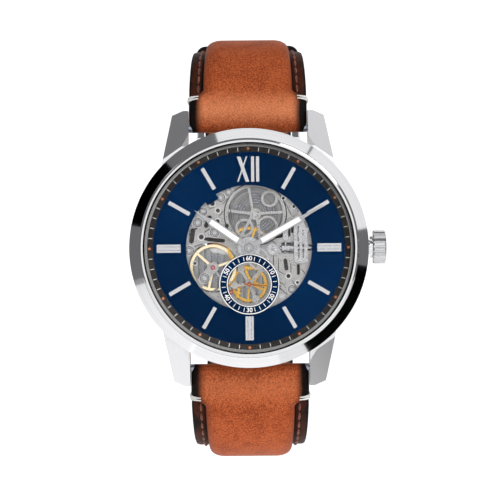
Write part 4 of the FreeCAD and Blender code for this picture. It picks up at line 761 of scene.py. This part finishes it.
def build_keeper(name, distance, gap, body, replaced):
    """A leather loop round the strap: a soft-edged band bent to a rounded rectangle."""
    band_half, skin, room, corner, dark_edge = 3.0, 1.2, 3.4, 1.0, 0.9
    half = half_width(distance) + gap
    inner_low, inner_high = -HALF_LEATHER - gap, HALF_LEATHER + room
    route = []
    for centre_x, centre_out, first in ((half - corner, inner_high - corner, 0),
                                        (-half + corner, inner_high - corner, 90),
                                        (-half + corner, inner_low + corner, 180),
                                        (half - corner, inner_low + corner, 270)):
        for k in range(7):
            turn = math.radians(first + 15 * k)
            route.append((centre_x, centre_out, math.cos(turn), math.sin(turn)))
    edge = [(band_half - 0.4, 0.0), (band_half - 0.12, 0.12), (band_half, 0.35), (band_half, 0.8),
            (band_half - 0.15, 1.05), (band_half - 0.5, skin - 0.05)]
    across_band = [(0.0, 0.0)] + edge + [(0.0, skin)] + [(-along, out) for along, out in reversed(edge)]
    loops, edge_dye_and_shade = [], []
    for centre_x, centre_out, cosine, sine in route:
        loop = []
        for along, out in across_band:
            far = corner + out
            loop.append(strap_place(1, distance + along, centre_x + far * cosine, centre_out + far * sine))
            edge_dye_and_shade.append(max(0.0, abs(along) - band_half + dark_edge) / dark_edge)
        loops.append(loop)
    builder = Builder()
    builder.loft(loops, closed=True)
    made = builder.make(name, strap_leather, body, "strap_leather", smooth=True)
    add_values(made.data, "edge_dye_and_shade", edge_dye_and_shade)
    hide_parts(replaced)


def build_strap():
    """Both halves with their stitching, tacks and keepers."""
    build_upper_leather()
    build_lower_leather()
    first_stitch = TACK_AT + 1.4
    build_stitching("upper_stitching", 1, first_stitch, UPPER_LENGTH - 8, "strap_upper")
    build_stitching("lower_stitching", -1, first_stitch, LOWER_LENGTH - 12, "strap_lower")
    build_tacks("upper_tacks", 1, "strap_upper")
    build_tacks("lower_tacks", -1, "strap_lower")
    build_keeper("fixed_keeper_leather", UPPER_LENGTH - 10, 0.3, "strap_upper", "fixed_keeper")
    build_keeper("sliding_keeper_leather", UPPER_LENGTH - 22, 0.4, "keeper", "sliding_keeper")


# ------------------------------ dial printing and lume

DIAL_FACE = front("dial")
TRACK_INNER, TRACK_OUTER = 19.3, 20.35
TRACK_LOW, TRACK_HIGH = DIAL_FACE + 0.2, front("minute_track_ring")
PRINT = 0.02            # how far printing stands up
SUBDIAL = (0.0, -7.3)
RING_FACE = front("small_seconds_ring")
HOUR_AT, MINUTE_AT = 145, 29.5          # where the hands point, counter-clockwise from 3 o'clock
MINUTE_LUME = 9.7                       # level of the filling in the minute hand
BATON_START, BATON_END = 13.7, 18.3     # the grooves of the wide batons, from the centre

# The front of the main plate and what is cut into it: screws and wells as (u, v, radius), openings
# as a start, an end and a width, and lines of painted shade on the plate in the same way.
PLATE_FACE = 6.6
PLATE_SCREWS = [(-10.3, 5.2, 0.75), (-9.0, -6.0, 0.8), (-12.0, -0.4, 0.7), (-5.6, 10.2, 0.7),
                (-4.0, 11.3, 0.65), (-9.2, 7.4, 0.65), (-6.9, 3.2, 0.8), (8.6, -8.4, 0.65)]
PLATE_WELLS = [(-7.3, 9.0, 0.55), (-6.2, 7.6, 0.5), (-6.3, 5.4, 0.55), (-9.6, 2.3, 0.6),
               (4.9, -4.9, 0.6), (7.9, -5.7, 0.5), (9.7, -7.0, 0.35), (7.0, 10.0, 0.35),
               (9.1, 8.3, 0.35), (-10.9, -3.0, 0.35)]
PLATE_OPENINGS = [((-8.6, 4.6), (-7.9, 6.2), 0.9), ((-11.6, 1.5), (-11.3, 3.6), 1.0),
                  ((-8.8, 1.9), (-5.2, 1.5), 0.8), ((-4.9, 2.9), (-4.4, 4.6), 0.7),
                  ((-10.7, 4.0), (-9.7, 5.2), 0.5), ((7.3, -2.6), (7.5, -4.2), 0.8),
                  ((9.9, -3.6), (9.9, -5.2), 0.6), ((8.8, 3.2), (8.8, 5.6), 0.6),
                  ((4.5, -10.8), (6.0, -7.8), 0.7)]
KEYLESS_WINDOW = [(5.1, 1.88), (8.35, 2.36), (8.35, 4.73), (7.15, 4.54)]
PLATE_SHADE_LINES = [((4.9, -1.5), (4.9, -3.4), 0.16), ((5.9, -2.2), (5.9, -4.6), 0.14),
                 ((5.9, -4.6), (6.9, -5.3), 0.14), ((8.4, -3.2), (8.4, -4.9), 0.16),
                 ((10.6, -4.4), (11.2, -5.2), 0.16), ((6.2, -8.2), (7.6, -9.4), 0.16),
                 ((4.3, 1.6), (5.4, 0.9), 0.14), ((9.9, 6.9), (11.0, 5.2), 0.12),
                 ((-10.9, 0.4), (-9.4, 0.9), 0.16), ((-11.9, 2.6), (-12.1, 4.4), 0.14),
                 ((-8.9, 3.3), (-7.9, 3.9), 0.16), ((-6.0, 6.4), (-5.2, 7.4), 0.14),
                 ((-7.9, 7.9), (-7.0, 8.3), 0.12), ((-5.2, 8.9), (-4.4, 9.9), 0.14),
                 ((-3.3, 5.6), (-3.9, 8.6), 0.12), ((7.4, 9.0), (8.6, 6.6), 0.12),
                 ((5.0, -6.2), (7.2, -7.6), 0.14), ((8.6, -6.6), (9.6, -8.2), 0.14)]


def track_level(radius):
    """Extra level of the sloped minute track at a radius, above its inner edge."""
    return (radius - TRACK_INNER) / (TRACK_OUTER - TRACK_INNER) * (TRACK_HIGH - TRACK_LOW)


def mark(builder, inner, outer, width, degrees, low, high, slope=None, u=0.0, v=0.0):
    """A straight mark that points to a centre."""
    outline = []
    for radius, offset in ((inner, -0.5), (outer, -0.5), (outer, 0.5), (inner, 0.5)):
        x, y = turned(radius, offset * width, degrees)
        outline.append((u + x, v + y, slope(radius)) if slope else (u + x, v + y))
    builder.slab(outline, low, high)


def build_track_marks():
    """A white tick for each minute and a copper dot for each hour."""
    tick_start, tick_end, tick_width = 19.5, 20.25, 0.11
    dot_radius, dot_from_centre = 0.27, 19.95
    low, high = TRACK_LOW, TRACK_LOW + PRINT
    ticks, dots = Builder(), Builder()
    for minute in range(60):
        degrees = 90 - 6 * minute
        if minute % 5:
            mark(ticks, tick_start, tick_end, tick_width, degrees, low, high, track_level)
            continue
        u, v = polar(dot_from_centre, degrees)
        outline = [(x, y, track_level(math.hypot(x, y))) for x, y in round_outline(dot_radius, u, v, 20)]
        dots.slab(outline, low, high)
    ticks.make("minute_ticks", print_white, "case", "track_black")
    dots.make("hour_dots", print_copper, "case", "track_black")


def numeral(text, height, u, v, degrees, level):
    """One numeral lying on the dial, turned by an angle, as a mesh."""
    curve = bpy.data.curves.new("numeral", "FONT")
    curve.body = text
    curve.size = height * MM
    curve.align_x = "CENTER"
    curve.align_y = "CENTER"
    curve.extrude = PRINT * MM / 2
    curve.offset = 0.02 * MM
    holder = in_scene("numeral", curve)
    bpy.context.view_layer.update()
    mesh = bpy.data.meshes.new_from_object(holder.evaluated_get(bpy.context.evaluated_depsgraph_get()))
    bpy.data.objects.remove(holder)
    stand = Matrix.Translation(at(u, v, level)) @ Matrix.Rotation(-math.radians(degrees), 4, "Y")
    mesh.transform(stand @ Matrix.Rotation(math.pi / 2, 4, "X"))
    return mesh


def build_small_seconds():
    """White edge lines, a mark each two seconds and a number each ten."""
    low, high = RING_FACE, RING_FACE + PRINT
    numeral_height, numerals_from_centre = 1.25, 5.17
    lines = Builder()
    flat_ring(lines, 6.02, 5.84, low, high, *SUBDIAL)
    flat_ring(lines, 4.5, 4.34, low, high, *SUBDIAL)
    for second in range(0, 60, 2):
        if second % 10:
            mark(lines, 4.75, 5.55, 0.12, 90 - 6 * second, low, high, None, *SUBDIAL)
    lines.make("small_seconds_marks", print_white, "case", "dial_blue")
    whole = bmesh.new()
    for second in range(0, 60, 10):
        degrees = 90 - 6 * second
        u, v = polar(numerals_from_centre, degrees, *SUBDIAL)
        upright = degrees + 90 if 15 < second < 45 else degrees - 90
        mesh = numeral(str(second or 60), numeral_height, u, v, upright, high - PRINT / 2)
        whole.from_mesh(mesh)
        bpy.data.meshes.remove(mesh)
    mesh = bpy.data.meshes.new("small_seconds_numerals")
    whole.to_mesh(mesh)
    whole.free()
    mesh.materials.append(print_white)
    piece("small_seconds_numerals", mesh, "case")


def build_lume(name, start, end, width, degrees, level, body):
    """The white luminous filling of a hand, slightly domed."""
    loops = []
    for inset, rise in ((0.0, 0.0), (0.0, 0.03), (0.08, 0.07), (0.2, 0.085)):
        half = width / 2 - inset
        corners = ((start + inset, -half), (end - inset, -half), (end - inset, half), (start + inset, half))
        loops.append([at(*turned(x, y, degrees), level + rise) for x, y in corners])
    builder = Builder()
    builder.loft(loops)
    builder.make(name, lume_white, body, "applied_steel")


def flat_bar(builder, start, end, width, low, high):
    """A flat bar with round ends."""
    heading = math.degrees(math.atan2(end[1] - start[1], end[0] - start[0]))
    outline = [polar(width / 2, heading + 90 + 15 * k, *start) for k in range(13)]
    outline += [polar(width / 2, heading - 90 + 15 * k, *end) for k in range(13)]
    builder.slab(outline, low, high)


def build_window_floors():
    """Black plates of painted shade that close the small openings of the main plate from below."""
    low, clearance = PLATE_FACE - 0.85, 0.06
    high = low + 0.1
    floors = Builder()
    for start, end, width in PLATE_OPENINGS:
        flat_bar(floors, start, end, width - clearance, low, high)
    floors.slab(KEYLESS_WINDOW, low, high)
    floors.make("plate_window_shade", black_lines_and_shade, "case", "plate_rhodium")


def build_plate_details():
    """Painted shade on the main plate: dark rings round the screws and on their heads, dark floors in the
    wells, a dark ring sunk beside the barrel and dark lines; and polished rings round the screws and wells
    as bevels.
    """
    dark, bright = Builder(), Builder()
    low, high = PLATE_FACE, PLATE_FACE + PRINT
    screw_face, well_floor, sink_floor = PLATE_FACE + 0.3, PLATE_FACE - 0.35, PLATE_FACE - 0.3
    for u, v, radius in PLATE_SCREWS:
        flat_ring(dark, radius + 0.2, radius + 0.04, low, high, u, v, 32)
        flat_ring(bright, radius + 0.28, radius + 0.2, low, high, u, v, 32)
        flat_ring(dark, radius * 0.78, radius * 0.62, screw_face, screw_face + PRINT / 2, u, v, 32)
    for u, v, radius in PLATE_WELLS:
        dark.slab(round_outline(radius * 0.75, u, v, 24), well_floor, well_floor + PRINT)
        flat_ring(bright, radius + 0.12, radius + 0.02, low, high, u, v, 32)
    flat_ring(dark, 6.38, 6.17, sink_floor, sink_floor + PRINT, *BARREL, 96)
    for start, end, width in PLATE_SHADE_LINES:
        flat_bar(dark, start, end, width, low, high)
    dark.make("plate_painted_shade", black_lines_and_shade, "case", "plate_rhodium")
    bright.make("plate_bevels", polished_steel, "case", "plate_rhodium")


def build_baton_grooves():
    """Two dark strips along each of the wide batons at three, six and nine, painted shade of their grooves.
    """
    groove_shade = Builder()
    level, groove_width, aside = front("hour_indices"), 0.14, 0.36
    for degrees in (0, 180, 270):
        for offset in (-aside, aside):
            u, v = turned(0, offset, degrees)
            mark(groove_shade, BATON_START, BATON_END, groove_width, degrees, level, level + PRINT, None, u, v)
    groove_shade.make("baton_groove_shade", dark_steel_and_shade, "case", "applied_steel")


def build_hub():
    """The cap in the middle of the minute hand and the turned line round it."""
    face = front("minute_hand")
    cap, line = Builder(), Builder()
    cap.slab(round_outline(0.42), face, face + 0.12)
    flat_ring(line, 0.95, 0.84, face, face + PRINT, sides=64)
    flat_ring(line, 0.50, 0.42, face, face + PRINT, sides=48)
    cap.make("hand_cap", movement_steel, "minute", "applied_steel")
    line.make("hand_hub_lines", black_lines_and_shade, "minute", "applied_steel")


def build_dial_details():
    """Everything printed or filled on the dial side, and the painted shade on the batons and the main
    plate.
    """
    build_baton_grooves()
    build_hub()
    build_window_floors()
    build_plate_details()
    build_track_marks()
    build_small_seconds()
    build_lume("hour_lume", 2.7, 9.35, 0.98, HOUR_AT, front("hour_hand"), "hour")
    build_lume("minute_lume", 2.9, 11.7, 0.92, MINUTE_AT, MINUTE_LUME, "minute")


# ------------------------------ studio

def flat_stage(name, corners, faces, material):
    """A surface of the studio, which isn't part of the watch."""
    mesh = bpy.data.meshes.new(name)
    mesh.from_pydata(corners, [], faces)
    mesh.materials.append(material)
    made = in_scene(name, mesh)
    return made


def build_sweep():
    """A pale floor that curves up into a wall well behind the watch."""
    half, floor, near, far, top, bend = 1.3, -0.42, -1.4, 1.0, 1.3, 0.4
    profile = [(near, floor)]
    for k in range(17):
        turn = math.pi / 2 * k / 16
        profile.append((far - bend + bend * math.sin(turn), floor + bend - bend * math.cos(turn)))
    profile.append((far, top))
    corners = [(x, y, z) for y, z in profile for x in (-half, half)]
    faces = [(2 * k, 2 * k + 1, 2 * k + 3, 2 * k + 2) for k in range(len(profile) - 1)]
    white = Surface("white_sweep", Roughness=0.9, Base_Color=(0.9, 0.9, 0.9, 1),
                    Emission_Color=(1, 1, 1, 1), Emission_Strength=0.55)
    made = flat_stage("sweep", corners, faces, white.material)
    made.data.polygons.foreach_set("use_smooth", [True] * len(made.data.polygons))


def facing_centre(place):
    """A turn that faces the watch, with the local X axis running round the dial."""
    back = Vector(place).normalized()
    across = back.cross(Vector((0, 1, 0))).normalized()
    return Matrix((across, back.cross(across), back)).transposed().to_euler()


def panel(name, place, size, power):
    """A soft light panel that faces the watch."""
    light = bpy.data.lights.new(name, "AREA")
    light.shape = "RECTANGLE"
    light.size, light.size_y = size
    light.energy = power
    made = in_scene(name, light)
    made.location = place
    made.rotation_euler = facing_centre(place)
    made.visible_camera = False


def flag(name, place, size):
    """A black card that gives the polished metal something dark to reflect."""
    black = Surface("black_card", Roughness=1.0, Specular_IOR_Level=0.0, Base_Color=(0, 0, 0, 1))
    half_wide, half_high = size[0] / 2, size[1] / 2
    corners = [(-half_wide, -half_high, 0), (half_wide, -half_high, 0), (half_wide, half_high, 0),
               (-half_wide, half_high, 0)]
    made = flat_stage(name, corners, [(0, 1, 2, 3)], black.material)
    made.location = place
    made.rotation_euler = facing_centre(place)
    made.visible_camera = False
    made.visible_shadow = False
    made.visible_diffuse = False


def round_place(distance, degrees, forward):
    """A place in the studio, at an angle round the dial and a distance in front of it."""
    turn = math.radians(degrees)
    return (distance * math.cos(turn), -forward, distance * math.sin(turn))


def build_lights():
    """Two bright arcs, at upper right and lower left, with dark cards between them."""
    panel("key_panel", (0.45, -1.0, 0.62), (0.6, 0.6), 4.6)
    panel("camera_side_panel", (0.0, -1.3, 0.1), (1.2, 1.2), 4.6)
    for degrees in (33, 82):
        panel(f"upper_right_panel_{degrees}", round_place(0.6, degrees, 0.15), (0.54, 0.26), 0.41)
    for degrees in (218, 262):
        panel(f"lower_left_panel_{degrees}", round_place(0.34, degrees, 0.085), (0.29, 0.16), 0.032)
    flag("dark_card_upper_left", round_place(0.5, 151, 0.12), (0.32, 0.30))
    flag("dark_card_lower_right", round_place(0.35, -35, 0.11), (0.35, 0.29))


def build_world():
    """Soft grey light from all round, behind a plain pale backdrop."""
    world = bpy.data.worlds.new("studio")
    world.use_nodes = True
    scene.world = world
    tree = world.node_tree
    lit = tree.nodes["Background"]
    lit.inputs["Color"].default_value = (0.20, 0.20, 0.205, 1)
    seen = tree.nodes.new("ShaderNodeBackground")
    seen.inputs["Color"].default_value = (1, 1, 1, 1)
    both = tree.nodes.new("ShaderNodeMixShader")
    rays = tree.nodes.new("ShaderNodeLightPath")
    tree.links.new(rays.outputs["Is Camera Ray"], both.inputs[0])
    tree.links.new(lit.outputs[0], both.inputs[1])
    tree.links.new(seen.outputs[0], both.inputs[2])
    tree.links.new(both.outputs[0], tree.nodes["World Output"].inputs["Surface"])


def build_camera():
    """A long lens square to the dial, so that the view is 100.4 mm wide in the dial's plane."""
    distance, seen_width, aside, below, roll = 402.7, 100.4, 0.2, 0.4, 0.5
    data = bpy.data.cameras.new("camera")
    data.sensor_width = 36
    data.lens = data.sensor_width * distance / seen_width
    data.clip_start = 0.01
    made = in_scene("camera", data)
    made.location = at(aside, -below, distance + DIAL_FACE)
    made.rotation_euler = (math.pi / 2, math.radians(roll), 0)
    scene.camera = made


build_camera()
build_world()
build_sweep()
build_lights()
finish_nodes()
build_strap()
build_dial_details()
scene.view_settings.view_transform = "Standard"
